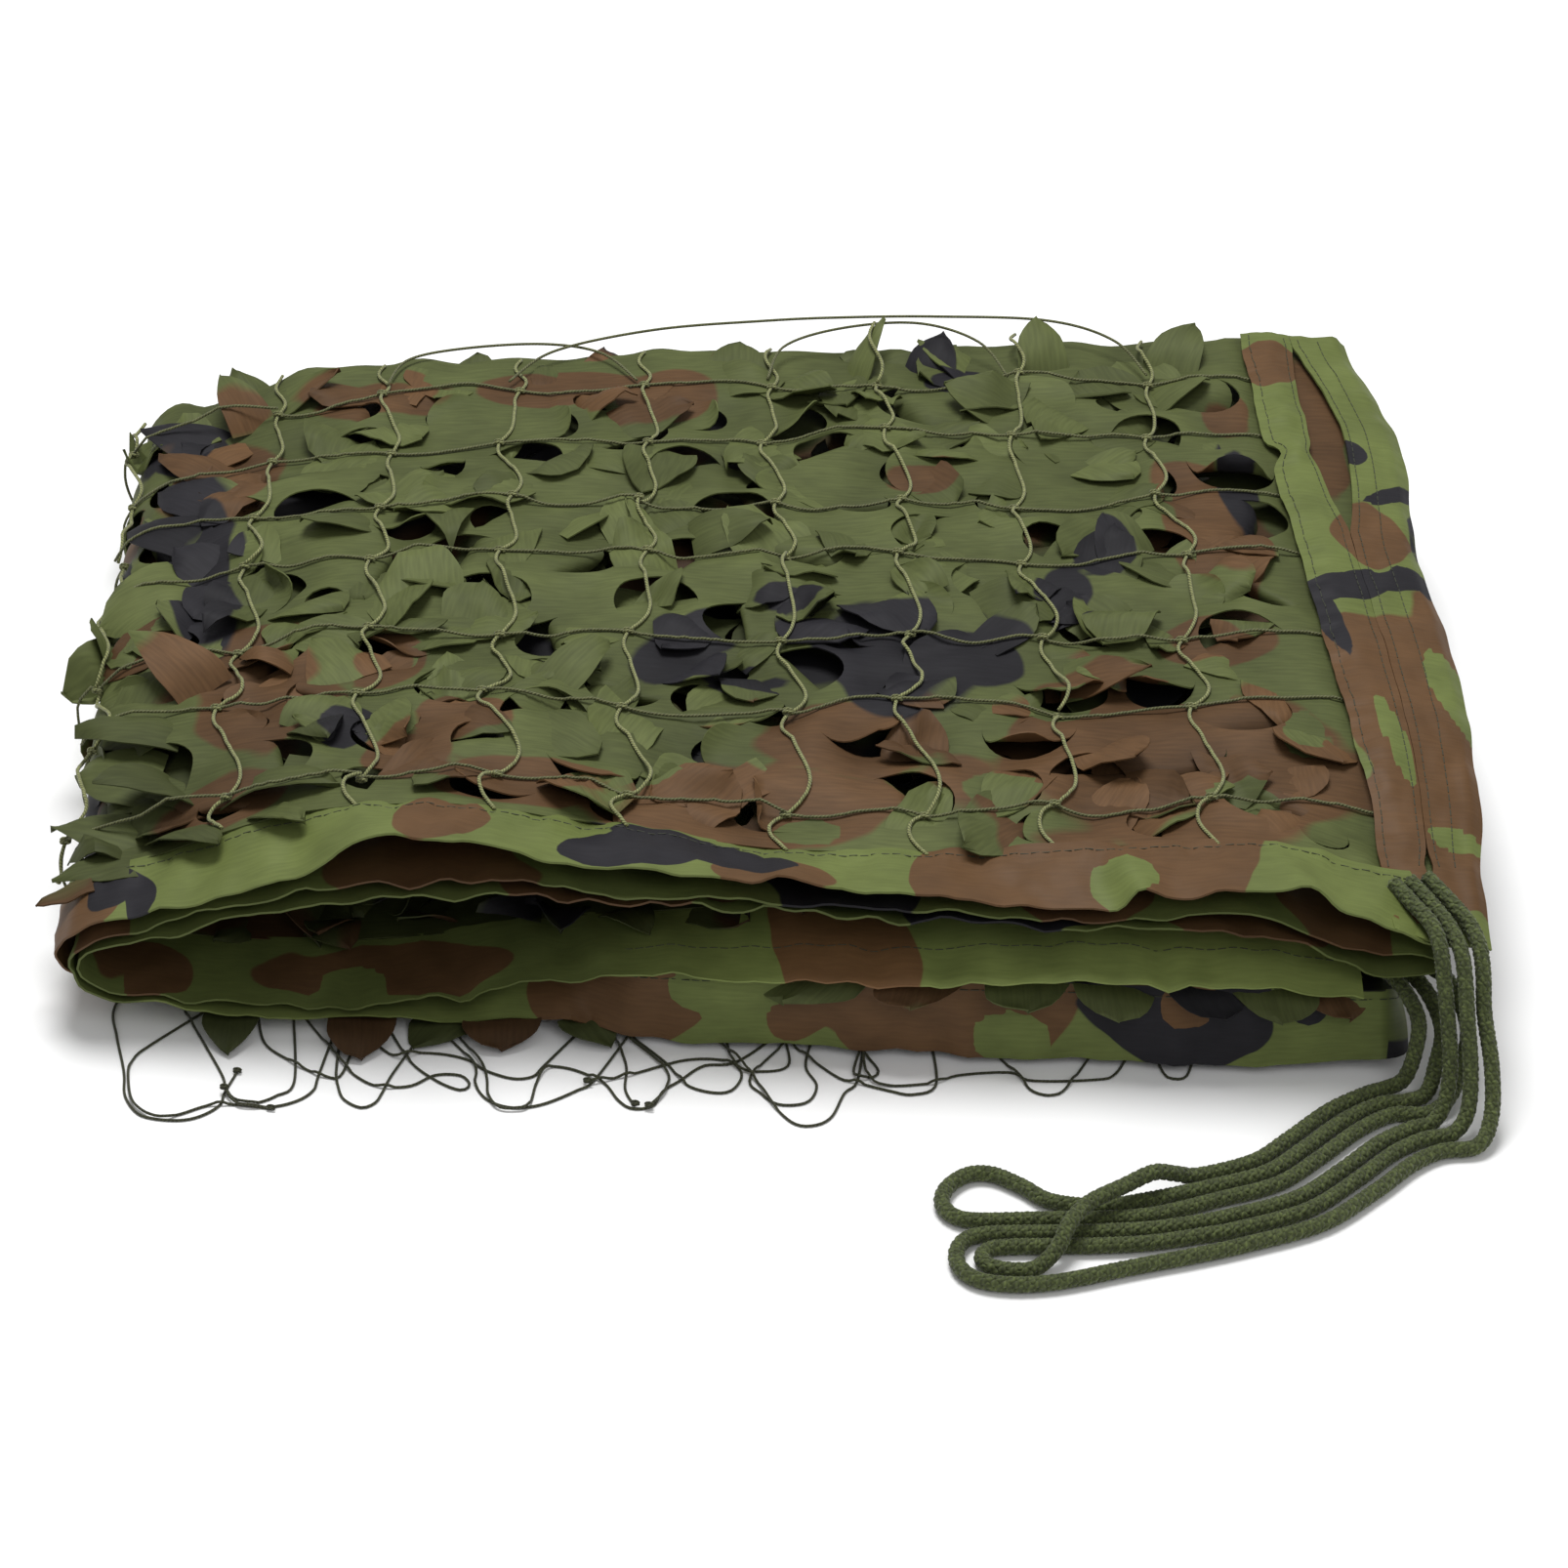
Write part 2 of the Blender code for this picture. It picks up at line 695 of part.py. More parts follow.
class CordMesh:
    """Flat strands joined at square knots. Every face runs the same way round, facing out."""

    # A knot's two corners on a side, in the order that a strand leaves them.
    SIDES = {
        "ahead": ((1, -1), (1, 1)),
        "rear": ((1, 1), (-1, 1)),
        "behind": ((-1, 1), (-1, -1)),
        "front": ((-1, -1), (1, -1)),
    }

    def __init__(self):
        self.mesh = bmesh.new()
        self.knots = {}
        self.raised = []

    def knot(self, key, s, y, raised=False):
        corners = {}
        for a, b in ((-1, -1), (-1, 1), (1, 1), (1, -1)):
            corners[a, b] = self.mesh.verts.new(net_offset(s, y, a * KNOT / 2, b * KNOT / 2))
        self.mesh.faces.new(corners.values())
        self.knots[key] = (s, y, corners)
        if raised:
            self.raised += corners.values()

    def place(self, key):
        return self.knots[key][:2]

    def pair(self, key, side):
        return [self.knots[key][2][way] for way in self.SIDES[side]]

    def strand(self, start, side, places, end=None, end_side=None):
        """A strand from a knot's side through places given as (s, y), to another knot's side."""
        previous = self.pair(start, side)
        route = [self.place(start), *places, self.place(end) if end else places[-1]]
        for before, (s, y), after in zip(route, route[1:], route[2:]):
            way = Vector((after[0] - before[0], after[1] - before[1])).normalized()
            half = CORD_WIDTH / 2
            line = [
                self.mesh.verts.new(net_offset(s, y, -way.y * half * turn, way.x * half * turn))
                for turn in (-1, 1)
            ]
            self.mesh.faces.new((previous[0], previous[1], line[1], line[0]))
            previous = line
        if end:
            last = self.pair(end, end_side)
            self.mesh.faces.new((previous[0], previous[1], last[0], last[1]))

    def link_along(self, first, second, sway):
        """A strand between two knots of a row, with more steps where it rounds the wrap."""
        (s1, y1), (s2, y2) = self.place(first), self.place(second)
        round_wrap = s2 > WRAP_FROM and s1 < WRAP_TO
        steps = 4 if round_wrap else 2
        places = [
            (s1 + (s2 - s1) * i / steps, y1 + (y2 - y1) * i / steps + sway)
            for i in range(1, steps)
        ]
        self.strand(first, "ahead", places, second, "behind")

    def link_over(self, first, second, sway):
        """A strand between two knots of a column, which sways to both sides."""
        (s1, y1), (s2, y2) = self.place(first), self.place(second)
        places = [
            (s1 + (s2 - s1) * t + sway * bow, y1 + (y2 - y1) * t)
            for t, bow in ((0.3, 1.0), (0.7, -0.8))
        ]
        self.strand(first, "rear", places, second, "front")


def cord_mesh(collection):
    """The knotted mesh over the top, round the left end and, at twice the pitch, underneath."""
    chance = random.Random(5)
    net = CordMesh()
    columns = TOP_COLUMNS + WRAP_COLUMNS + UNDER_COLUMNS
    wide_from = len(TOP_COLUMNS) + len(WRAP_COLUMNS) + 1
    rows = range(len(MESH_ROWS))
    for c, s in enumerate(columns):
        for r in rows[::2] if c >= wide_from else rows:
            loose = 4 if s < WRAP_FROM else 0
            shift_s, shift_y = chance.uniform(-loose, loose), chance.uniform(-loose, loose)
            net.knot((c, r), s + shift_s, net_y(s, MESH_ROWS[r]) + shift_y, s < WRAP_FROM)
    for (c, r) in list(net.knots):
        if (c + 1, r) in net.knots:
            net.link_along((c, r), (c + 1, r), chance.uniform(-2, 2))
        above = (c, r + 2) if c >= wide_from else (c, r + 1)
        if above in net.knots:
            net.link_over((c, r), above, chance.choice((-1, 1)) * CORD_SWAY)
    for r in rows:
        s, y = net.place((0, r))
        sewn = CORD_TUCK - read_table(LEFT_LINE, y, "y", "x")
        net.strand((0, r), "behind", [((s + sewn) / 2, y), (sewn, y + 2)])
    for c in range(len(TOP_COLUMNS)):
        s, y = net.place((c, 0))
        sewn = net_y(s, 0)
        places = [(s + chance.uniform(-4, 4), (y + sewn) / 2), (s, sewn + CORD_TUCK)]
        net.strand((c, 0), "front", places)
    floor_scallops(net, columns)
    return thicken_net(net, collection)


def floor_scallops(net, columns):
    """The slack rows on the floor in front, and the strands that tie them to the net beneath."""
    starts = [*SCALLOPS, Scallop(160, 0)]
    for number, scallop in enumerate(starts):
        s = WRAP_TO + WRAP_FROM + scallop.x
        net.knot(("floor", number), s, front_y(scallop.x) + 7)
        if s in columns:
            first = (columns.index(s), 0)
            middle = (net.place(first)[1] + net.place(("floor", number))[1]) / 2
            net.strand(("floor", number), "rear", [(s + 3, middle)], first, "front")
    for number, (scallop, after) in enumerate(zip(starts, starts[1:])):
        places = []
        for step in range(1, SCALLOP_STEPS):
            t = step / SCALLOP_STEPS
            x = scallop.x + (after.x - scallop.x) * (t - 0.12 * math.sin(math.tau * t))
            out = scallop.reach * math.sin(math.pi * t) ** 0.7
            places.append((WRAP_TO + WRAP_FROM + x, front_y(x) + 7 - out))
        net.strand(("floor", number), "ahead", places, ("floor", number + 1), "behind")


def thicken_net(net, collection):
    net.mesh.verts.index_update()
    raised = [vert.index for vert in net.raised]
    obj = object_from(net.mesh, "cord_mesh", MESH_CORD, collection)
    obj.data.shade_flat()
    obj.vertex_groups.new(name="knots").add(raised, 1.0, "REPLACE")
    solid = thicken(obj, KNOT_HEIGHT, offset=1.0)
    solid.vertex_group = "knots"
    solid.thickness_vertex_group = CORD / KNOT_HEIGHT
    return obj


def smooth_route(points, spacing):
    """Evenly spaced points on a smooth curve through a route's points."""
    points = [Vector(point) for point in points]
    dense = []
    for i in range(len(points) - 1):
        p0, p1 = points[max(0, i - 1)], points[i]
        p2, p3 = points[i + 1], points[min(len(points) - 1, i + 2)]
        for t in (step / 20 for step in range(20)):
            turn = (2 * p0 - 5 * p1 + 4 * p2 - p3) * t**2 + (3 * p1 - p0 - 3 * p2 + p3) * t**3
            dense.append((2 * p1 + (p2 - p0) * t + turn) / 2)
    dense.append(points[-1])
    lengths = [0.0]
    for a, b in zip(dense, dense[1:]):
        lengths.append(lengths[-1] + (b - a).length)
    count = round(lengths[-1] / spacing)
    even = [points[0]]
    j = 1
    for goal in (lengths[-1] * i / count for i in range(1, count + 1)):
        while lengths[j] < goal - 1e-6:
            j += 1
        t = (goal - lengths[j - 1]) / (lengths[j] - lengths[j - 1])
        even.append(dense[j - 1].lerp(dense[j], t))
    return even


def lane(aside):
    """The runs' shared way over the floor, moved aside for one of them."""
    places = [Vector(place) for place in ROPE_LANE]
    moved = []
    for i, place in enumerate(places):
        way = (places[min(len(places) - 1, i + 1)] - places[max(0, i - 1)]).normalized()
        moved.append(Route(place.x - way.y * aside, place.y + way.x * aside, ROPE_REST))
    return moved


def drawcord(collection, name, down, bight, up):
    """One rope: down to the floor at the corner, out to its bight, and back up again."""
    points = [*HANGS[down], *lane(ASIDE[down]), *bight]
    points += [*reversed(lane(ASIDE[up])), *reversed(HANGS[up])]
    even = smooth_route(points, ROPE_SPACING)
    data = bpy.data.curves.new(name, "CURVE")
    data.dimensions = "3D"
    data.bevel_depth = ROPE / 2 * MM
    data.bevel_resolution = 2
    data.use_fill_caps = True
    line = data.splines.new("POLY")
    line.points.add(len(even) - 1)
    for target, point in zip(line.points, even):
        target.co = (*(point * MM), 1)
    obj = bpy.data.objects.new(name, data)
    collection.objects.link(obj)
    paint(obj, name, ROPE_CORD)
    return obj


def main():
    clear_scene()
    collection = bpy.data.collections.new("camouflage_net")
    bpy.context.scene.collection.children.link(collection)
    leaf_cloth(collection)
    front_tape(collection)
    end_band(collection)
    cord_mesh(collection)
    drawcord(collection, "drawcord_a", "d", UPPER_BIGHT, "e")
    drawcord(collection, "drawcord_b", "c", INNER_BIGHT, "b")
    drawcord(collection, "drawcord_c", "f", OUTER_BIGHT, "a")
    for obj in collection.objects:
        obj.data.transform(Matrix.Translation((0, TABLES_BACK * MM, 0)))


main()
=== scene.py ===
"""Looks for a camouflage net folded into a flat stack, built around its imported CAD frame.

It is laid out as an add-on and run as a script. The tables are in millimetres, with y measured
from a line 6.5 mm behind the part's origin, and pass through place() once. The long sheet is
described flat: s runs along it from the top layer's right end, over the six layers and the five
bends between them, and w runs across it from the front tape to the rear.
"""

import math
import random
from collections import namedtuple

import bmesh
import bpy
import numpy as np
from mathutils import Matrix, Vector, noise
from mathutils.geometry import delaunay_2d_cdt
from mathutils.kdtree import KDTree


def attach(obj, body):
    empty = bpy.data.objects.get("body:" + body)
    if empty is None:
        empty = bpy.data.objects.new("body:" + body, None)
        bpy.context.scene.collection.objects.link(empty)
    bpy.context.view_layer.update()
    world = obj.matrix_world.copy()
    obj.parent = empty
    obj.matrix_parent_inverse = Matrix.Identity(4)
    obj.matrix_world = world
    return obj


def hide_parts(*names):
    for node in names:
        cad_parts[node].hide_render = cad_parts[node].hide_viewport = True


bl_info = {
    "name": "Camouflage net looks",
    "version": (1, 0, 0),
    "blender": (4, 5, 0),
    "location": "View3D > Sidebar > Camouflage net",
    "description": "Dresses the folded camouflage net's CAD frame",
    "category": "Object",
}

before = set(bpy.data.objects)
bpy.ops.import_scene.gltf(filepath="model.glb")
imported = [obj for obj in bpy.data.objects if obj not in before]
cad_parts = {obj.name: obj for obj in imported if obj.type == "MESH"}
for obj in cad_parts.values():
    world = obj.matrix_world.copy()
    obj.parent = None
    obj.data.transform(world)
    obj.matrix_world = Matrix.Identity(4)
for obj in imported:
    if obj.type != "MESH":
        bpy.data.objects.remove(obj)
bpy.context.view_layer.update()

MM, TABLES_BACK = 0.001, 6.5

TOP, SECOND, THIRD, FOURTH, FIFTH, BOTTOM = range(1, 7)


def table(kind, *rows):
    """A table's rows as named tuples of one kind."""
    return tuple(kind(*row) for row in rows)


# The stack seen from above: its front and rear edges, then the end band's left and right edges.
Line = namedtuple("Line", "x y")
FRONT_LINE = table(
    Line,
    (-210, -137), (-141, -140), (-78, -141), (-50, -145), (20, -153), (108, -161), (178, -166),
    (215, -163),
)
REAR_LINE = table(
    Line,
    (-210, 150), (-173, 157), (-100, 161), (0, 166), (100, 170), (215, 168),
)
LEFT_LINE = table(
    Line,
    (179.5, -140), (178, -96), (174, -32), (170.5, 45), (167, 92), (166, 165),
)
RIGHT_LINE = table(
    Line,
    (205, -166), (211, -118), (214, -60), (213, -10), (210, 28), (212, 67), (213, 107), (209, 128),
    (201, 172),
)

# For each place along a layer: the tape's outer edge behind the front line and above the floor,
# the same for its sewn edge, and the cloth's height away from the front.
Place = namedtuple("Place", "x edge_in edge_z seam_in seam_z bed_z")
LAYERS = {
    TOP: table(
        Place,
        (-188, 0, 42, 29, 43, 52), (-141, 0, 56, 29, 60, 60), (-103, -1, 72, 26, 66, 62),
        (-62, 0, 63, 29, 60, 62), (0, 0, 62, 29, 54, 61), (45, 0, 58, 29, 54, 61),
        (94, 0, 56, 28, 60, 62), (142, 0, 66, 30, 61, 63), (178, 0, 53, 29, 53, 62),
        (196, 1, 45, 29, 52, 61), (215, 2, 43, 30, 50, 57),
    ),
    SECOND: table(
        Place,
        (-188, 0, 37, 29, 40, 45), (-141, 0, 51, 29, 52, 51), (-103, 0, 56, 29, 55, 52),
        (-62, 0, 55, 29, 57, 52), (0, 1, 54, 30, 49, 52), (45, 1, 53, 30, 49, 52),
        (94, 1, 52, 29, 55, 53), (142, 1, 55, 30, 55, 54), (178, 1, 43, 30, 47, 53),
    ),
    THIRD: table(
        Place,
        (-188, 0, 32, 29, 35, 39), (-141, 0, 46, 29, 47, 43), (-103, 0, 50, 29, 49, 44),
        (-62, 1, 50, 30, 50, 44), (0, 2, 49, 31, 44.5, 44), (45, 2, 49, 31, 44.5, 44),
        (94, 1, 48, 30, 49, 45), (142, 1, 49, 30, 49, 46), (178, 1, 34, 30, 41, 45),
    ),
    FOURTH: table(
        Place,
        (-188, 0, 15, 29, 18, 25), (-141, 0, 10, 29, 14, 26), (-103, 0, 13, 29, 16, 28),
        (-62, 1, 21, 29, 24, 29), (0, 0, 33, 29, 34, 30), (45, 0, 36, 29, 37, 31),
        (94, 0, 39, 29, 41, 32), (142, 1, 38, 29, 41, 32), (172, 2, 31, 30, 36, 32),
    ),
    FIFTH: table(
        Place,
        (-188, 0, 11, 29, 12, 17), (-141, 0, 6, 29, 9, 17), (-103, 0, 6, 28, 10, 17),
        (-62, 1, 5, 21, 19, 18), (-40, 1, 3, 9, 22, 19), (0, 0, 3, 6, 26, 20),
        (94, 0, 3, 5, 27, 20), (142, 0, 3, 6, 27, 20), (178, 1, 5.5, 10, 24, 19),
    ),
    BOTTOM: table(
        Place,
        (-188, 12, 5, 41, 6, 6), (-141, 14, 3, 43, 3.2, 4), (0, 14, 3, 43, 3.2, 4),
        (178, 14, 3, 43, 3.2, 4),
    ),
}

Bend = namedtuple("Bend", "first last x reach")
BENDS = (
    Bend(TOP, BOTTOM, -188, -22),
    Bend(BOTTOM, FIFTH, 178, 9),
    Bend(FIFTH, SECOND, -188, -18),
    Bend(SECOND, THIRD, 178, 17),
    Bend(THIRD, FOURTH, -188, -14),
)
LEFT_END, RIGHT_END, FREE_END = -188.0, 178.0, 172.0
# The cloth reaches its table's height this far behind the tape, and swells in long waves there.
BED_DEPTH = 60.0
WAVE_LENGTH, WAVE_HEIGHT = 90.0, 1.2

# The flat sheet in the order that s passes it, each stretch a layer or a bend.
Stretch = namedtuple("Stretch", "layer bend length")
STRETCHES = (
    Stretch(TOP, None, 366),
    Stretch(None, BENDS[0], 72),
    Stretch(BOTTOM, None, 366),
    Stretch(None, BENDS[1], 30),
    Stretch(FIFTH, None, 366),
    Stretch(None, BENDS[2], 52),
    Stretch(SECOND, None, 366),
    Stretch(None, BENDS[3], 38),
    Stretch(THIRD, None, 366),
    Stretch(None, BENDS[4], 36),
    Stretch(FOURTH, None, 360),
)
SHEET_LENGTH = sum(stretch.length for stretch in STRETCHES)
SHEET_DEPTH = 292.0
FINE_LENGTH = STRETCHES[0].length + STRETCHES[1].length
TAPE_DEPTH = 29.0
# The top layer's cloth goes this far under the end band, and stays inside its right edge.
UNDER_BAND, INSIDE_BAND = 36.0, 5.0
NEAR_BAND = 170.0

# How far each layer's cloth may bulge or curl, up and down.
Room = namedtuple("Room", "up down")
ROOMS = {
    TOP: Room(1.0, 1.0),
    SECOND: Room(0.45, 0.45),
    THIRD: Room(0.3, 1.3),
    FOURTH: Room(1.2, 0.3),
    FIFTH: Room(0.5, 0.4),
    BOTTOM: Room(0.9, 0.0),
}

# The print's large patches by ink: a middle, how far it reaches each way and any turn in degrees.
# A bare patch keeps the ground, and one marked over is brown inside charcoal.
Patch = namedtuple("Patch", "x y reach_x reach_y turn", defaults=(0,))
TOP_PATCHES = {
    "dark": table(
        Patch,
        (-178, 30, 12, 52, 8), (-25, -22, 15, 22, -30), (38, -28, 24, 36, 40),
        (-6, -36, 20, 10, -10), (10, 6, 12, 8), (108, 30, 9, 14), (66, -26, 20, 20),
        (95, 9, 10, 20), (156, 72, 9, 32), (68, 146, 12, 8), (-52, -128, 11, 10),
        (-128, -66, 8, 12), (-190, 120, 10, 12),
    ),
    "brown": table(
        Patch,
        (-160, -40, 26, 30, 20), (-176, 95, 18, 26), (-130, 138, 20, 14), (-118, -28, 10, 12),
        (-60, 140, 22, 9), (-34, 132, 16, 14, 30), (55, 80, 12, 9), (146, 46, 12, 34, 10),
        (186, 104, 10, 46), (156, 118, 10, 14), (-92, -62, 16, 12), (138, -22, 16, 12),
        (20, -70, 34, 18), (116, -88, 56, 46), (-70, -98, 30, 12), (-16, -104, 42, 24),
        (-160, -100, 20, 14), (-110, -84, 14, 16),
    ),
    "bare": table(
        Patch,
        (90, -58, 8, 6, 20), (70, -100, 9, 5, -10), (142, -108, 8, 5), (132, -46, 10, 8),
        (162, -76, 5, 9), (-34, -88, 7, 6), (12, -114, 8, 5),
    ),
}
BAND_PATCHES = {
    "dark": table(
        Patch,
        (193, 89, 6, 8), (203, 63, 15, 6, 31), (211, 42, 7, 27), (198, 13, 13, 6, 18),
        (180, 4, 13, 6, 15), (177, -20, 5, 25, 12),
    ),
    "brown": table(
        Patch,
        (172, 146, 9, 13), (196, 36, 12, 25), (197, -52, 30, 76), (184, -122, 14, 30),
        (206, -110, 12, 26),
    ),
    "bare": table(
        Patch,
        (212, -54, 6, 21, 12), (189, -80, 2.5, 18, 8), (203, -121, 7, 4, -20),
        (204, -160, 12, 9, -20),
    ),
    "over": table(Patch, (196, 36, 7, 17)),
}
# On the tape y is the distance from its sewn edge, down to -29 at its outer edge. A layer's
# number with a minus stands for the bend that follows it.
TAPE_PATCHES = {
    TOP: {
        "dark": table(
            Patch,
            (-188, -14, 12, 18, 20), (-42, -18, 20, 10, 12), (-20, -10, 26, 8, -14),
        ),
        "brown": table(
            Patch,
            (-203, -20, 7, 14), (-96, -14, 12, 16, -20), (2, -22, 18, 10), (54, -12, 16, 24),
            (112, -14, 40, 26),
        ),
        "bare": table(Patch, (102, -20, 8, 9, 30)),
    },
    -TOP: {
        "dark": table(Patch, (-193, -10, 12, 14)),
        "brown": table(Patch, (-207, -22, 12, 12)),
    },
    SECOND: {
        "dark": table(Patch, (18, -14, 30, 20)),
        "brown": table(Patch, (-102, -16, 28, 24), (174, -14, 24, 24), (84, -14, 26, 20)),
    },
    THIRD: {
        "dark": table(Patch, (64, -14, 26, 20)),
        "brown": table(Patch, (-40, -14, 40, 24), (132, -14, 30, 20)),
    },
    FOURTH: {
        "brown": table(Patch, (-187, -20, 12, 10), (-108, -18, 40, 11), (22, -14, 18, 24)),
        "bare": table(Patch, (-124, -24, 8, 10)),
    },
    FIFTH: {
        "dark": table(Patch, (124, -14, 27, 20, -12), (157, -6, 7, 10)),
        "brown": table(
            Patch,
            (-44, -14, 25, 16, 10), (8, -14, 10, 20, -20), (62, -12, 40, 22),
            (122, -7, 14, 15, -24),
        ),
        "bare": table(Patch, (-14, -8, 14, 8), (70, -22, 9, 8)),
        "over": table(Patch, (122, -7, 7, 8, -24)),
    },
}

# The cord mesh: columns are places on its own length, from right to left over the top, round the
# left end and back under the stack. Rows are shares of the depth behind the tape.
WRAP_FROM, WRAP_TO, WRAP_REACH = 188.0, 248.0, 25.2
UNDER_Z = 1.9
TOP_COLUMNS = (-132, -85, -44, -4, 40, 83, 124, 164)
WRAP_COLUMNS = (206, 246)
UNDER_COLUMNS = (286, 366, 446, 526, 596)
MESH_ROWS = (0.065, 0.235, 0.36, 0.53, 0.645, 0.785, 0.905)
# The first column under the stack, where only every second row is built.
UNDER_FROM, UNDER_SKIP = len(TOP_COLUMNS + WRAP_COLUMNS) + 1, 2
KNOTS_LOOSE = 4

# Slack cords of the mesh on the floor in front of the stack, in the order that they lie.
FLOOR_LOOPS = (
    ((-190, -108), (-196, -126), (-194, -140), (-191, -154), (-190, -160), (-189, -169),
     (-185, -177), (-180, -180), (-172, -181), (-166, -179), (-161, -174), (-160, -168),
     (-157, -158)),
    ((-172, -127), (-184, -145), (-188, -151), (-189, -158), (-187, -171), (-183, -177),
     (-178, -180), (-172, -178), (-164, -174), (-156, -174), (-146, -176)),
    ((-162, -128), (-162, -158), (-160, -166), (-158, -170), (-154, -173), (-150, -173),
     (-145, -170), (-140, -163), (-139, -130)),
    ((-160, -168), (-157, -173), (-154, -175), (-145, -175), (-138, -172), (-134, -167),
     (-133, -160), (-136, -130)),
    ((-158, -128), (-150, -144), (-142, -153), (-136, -158), (-131, -161), (-126, -159),
     (-124, -131)),
    ((-129, -131), (-128, -157), (-127, -166), (-125, -172), (-120, -176), (-116, -174),
     (-114, -169), (-111, -159), (-104, -132)),
    ((-130, -131), (-126, -155), (-121, -162), (-115, -166), (-106, -166), (-99, -161),
     (-92, -161), (-89, -164), (-89, -167), (-92, -168), (-99, -163), (-107, -153), (-114, -132)),
    ((-118, -131), (-112, -151), (-104, -150), (-96, -151), (-89, -154), (-84, -159), (-76, -163),
     (-70, -162), (-67, -157), (-64, -135)),
    ((-90, -134), (-88, -155), (-87, -165), (-84, -172), (-79, -176), (-73, -177), (-66, -175),
     (-57, -169), (-52, -164), (-48, -137)),
    ((-86, -134), (-85, -157), (-83, -171), (-80, -177), (-75, -178), (-71, -176), (-69, -165),
     (-66, -158), (-61, -158), (-55, -161), (-49, -166), (-45, -174), (-41, -178), (-35, -177),
     (-32, -170), (-27, -165), (-20, -158), (-10, -156), (0, -140)),
    ((-44, -137), (-43, -156), (-43, -169), (-40, -177)),
    ((-54, -166), (-42, -162), (-33, -158), (-25, -155), (-16, -155), (-10, -159), (-9, -164),
     (-12, -170), (-17, -171), (-24, -168), (-28, -162), (-32, -155), (-33, -138)),
    ((-37, -137), (-32, -158), (-31, -169), (-36, -178)),
    ((-14, -139), (-11, -158), (-4, -161), (5, -158), (14, -141)),
    ((-3, -140), (-6, -163), (-3, -172), (2, -177), (10, -176), (13, -168), (10, -158), (2, -140)),
    ((-9, -140), (-5, -165), (0, -177), (6, -186), (12, -187), (17, -183), (21, -172), (25, -166),
     (30, -143)),
    ((10, -141), (18, -163), (25, -167), (34, -171), (41, -173), (48, -168), (52, -144)),
    ((26, -142), (24, -162), (28, -165), (31, -160), (29, -142)),
    ((22, -142), (29, -166), (45, -168), (55, -164), (70, -163), (76, -167), (94, -167),
     (101, -164), (108, -148)),
    ((70, -146), (72, -164), (76, -172), (82, -174), (87, -169), (90, -147)),
    ((112, -149), (115, -164), (118, -167), (122, -165), (126, -150)),
)

# Rope runs at the near right corner, then their shared way over the floor, each so far aside, and
# their bights. A bight's place without a height lies on the floor.
ROPE_REST, ROPE_OVER = 2.6, 10.2
HANGS = {
    "c": ((170, -137, 25.9), (178, -147.5, 27), (184, -158, 26.6), (188, -168, 22),
          (187, -173, 14), (184, -175.5, 6), (179, -175.5, 2.7)),
    "d": ((176.5, -133.5, 25.5), (184, -145, 25.8), (191, -157, 25), (195, -168.5, 19),
          (193, -175, 10.5), (190, -180, 4), (183.5, -182, 2.7)),
    "e": ((182, -130, 24), (190, -141, 24.6), (199, -153, 24), (203, -166, 17), (200, -176, 8.5),
          (196, -182.5, 3.6), (189, -188, 2.7)),
    "a": ((181, -147, 55.8), (186, -155.5, 54), (190.5, -163.5, 52.2), (192.5, -169.8, 48),
          (193.5, -174, 40), (194.5, -178.5, 31), (195.5, -184.5, 18), (194, -189.5, 8),
          (190, -193, 3.2)),
    "b": ((186, -144.8, 55), (191.5, -153.5, 52.7), (196, -162, 50.3), (198.5, -169.8, 46.8),
          (199.5, -175.5, 39.5), (200, -181, 31), (201, -187.5, 18), (200, -194, 8),
          (195.5, -198, 3.2)),
    "f": ((191.2, -142.5, 54.7), (197, -150.5, 52), (202, -159, 49.4), (204.2, -166.5, 46.5),
          (205, -172, 40.5), (205.3, -177.5, 31), (207.2, -187, 18), (206.5, -196.5, 8),
          (202, -203.8, 3.2)),
}
ROPE_LANE = ((173, -178), (161, -186), (148, -199), (137, -209), (121, -215))
ASIDE = {"c": 0, "d": 6, "e": 12, "a": 20, "b": 26, "f": 33}
UPPER_BIGHT = (
    (105, -226), (92, -228.5), (78, -226), (70, -219), (62, -213.5), (55, -213.5), (49, -219),
    (47, -226), (50, -232), (57, -234.2), (75, -234), (92, -234), (107, -232.5),
)
INNER_BIGHT = (
    (114, -218.5, 6), (107, -223, ROPE_OVER), (98, -229, ROPE_OVER), (88, -236, ROPE_OVER),
    (82, -244.5, ROPE_OVER), (78, -251, 6), (72, -255.3), (65, -256.3), (59, -254.3), (57, -250.4),
    (60, -246.8), (67, -246), (78, -246), (90, -246), (105, -245), (120, -242),
)
OUTER_BIGHT = (
    (118, -250.5), (105, -254), (94, -257), (84, -260), (75, -262), (65, -262.5), (56, -260.5),
    (51, -255.5), (50, -248.5), (53, -242.5), (59, -240.3), (67, -240), (78, -240), (90, -239.8),
    (105, -239), (118, -236.5),
)
# A rope's name, the run that it comes down by, its bight and the run that it goes up by.
ROPES = (
    ("drawcord_a", "d", UPPER_BIGHT, "e"),
    ("drawcord_b", "c", INNER_BIGHT, "b"),
    ("drawcord_c", "f", OUTER_BIGHT, "a"),
)


# ---------------------------------------------------------------- settings


def size(name, text, default, low, high):
    return bpy.props.FloatProperty(
        name=name, description=text, default=default, min=low, max=high
    )


def colour(name, text, default):
    return bpy.props.StringProperty(name=name, description=text, default=default)


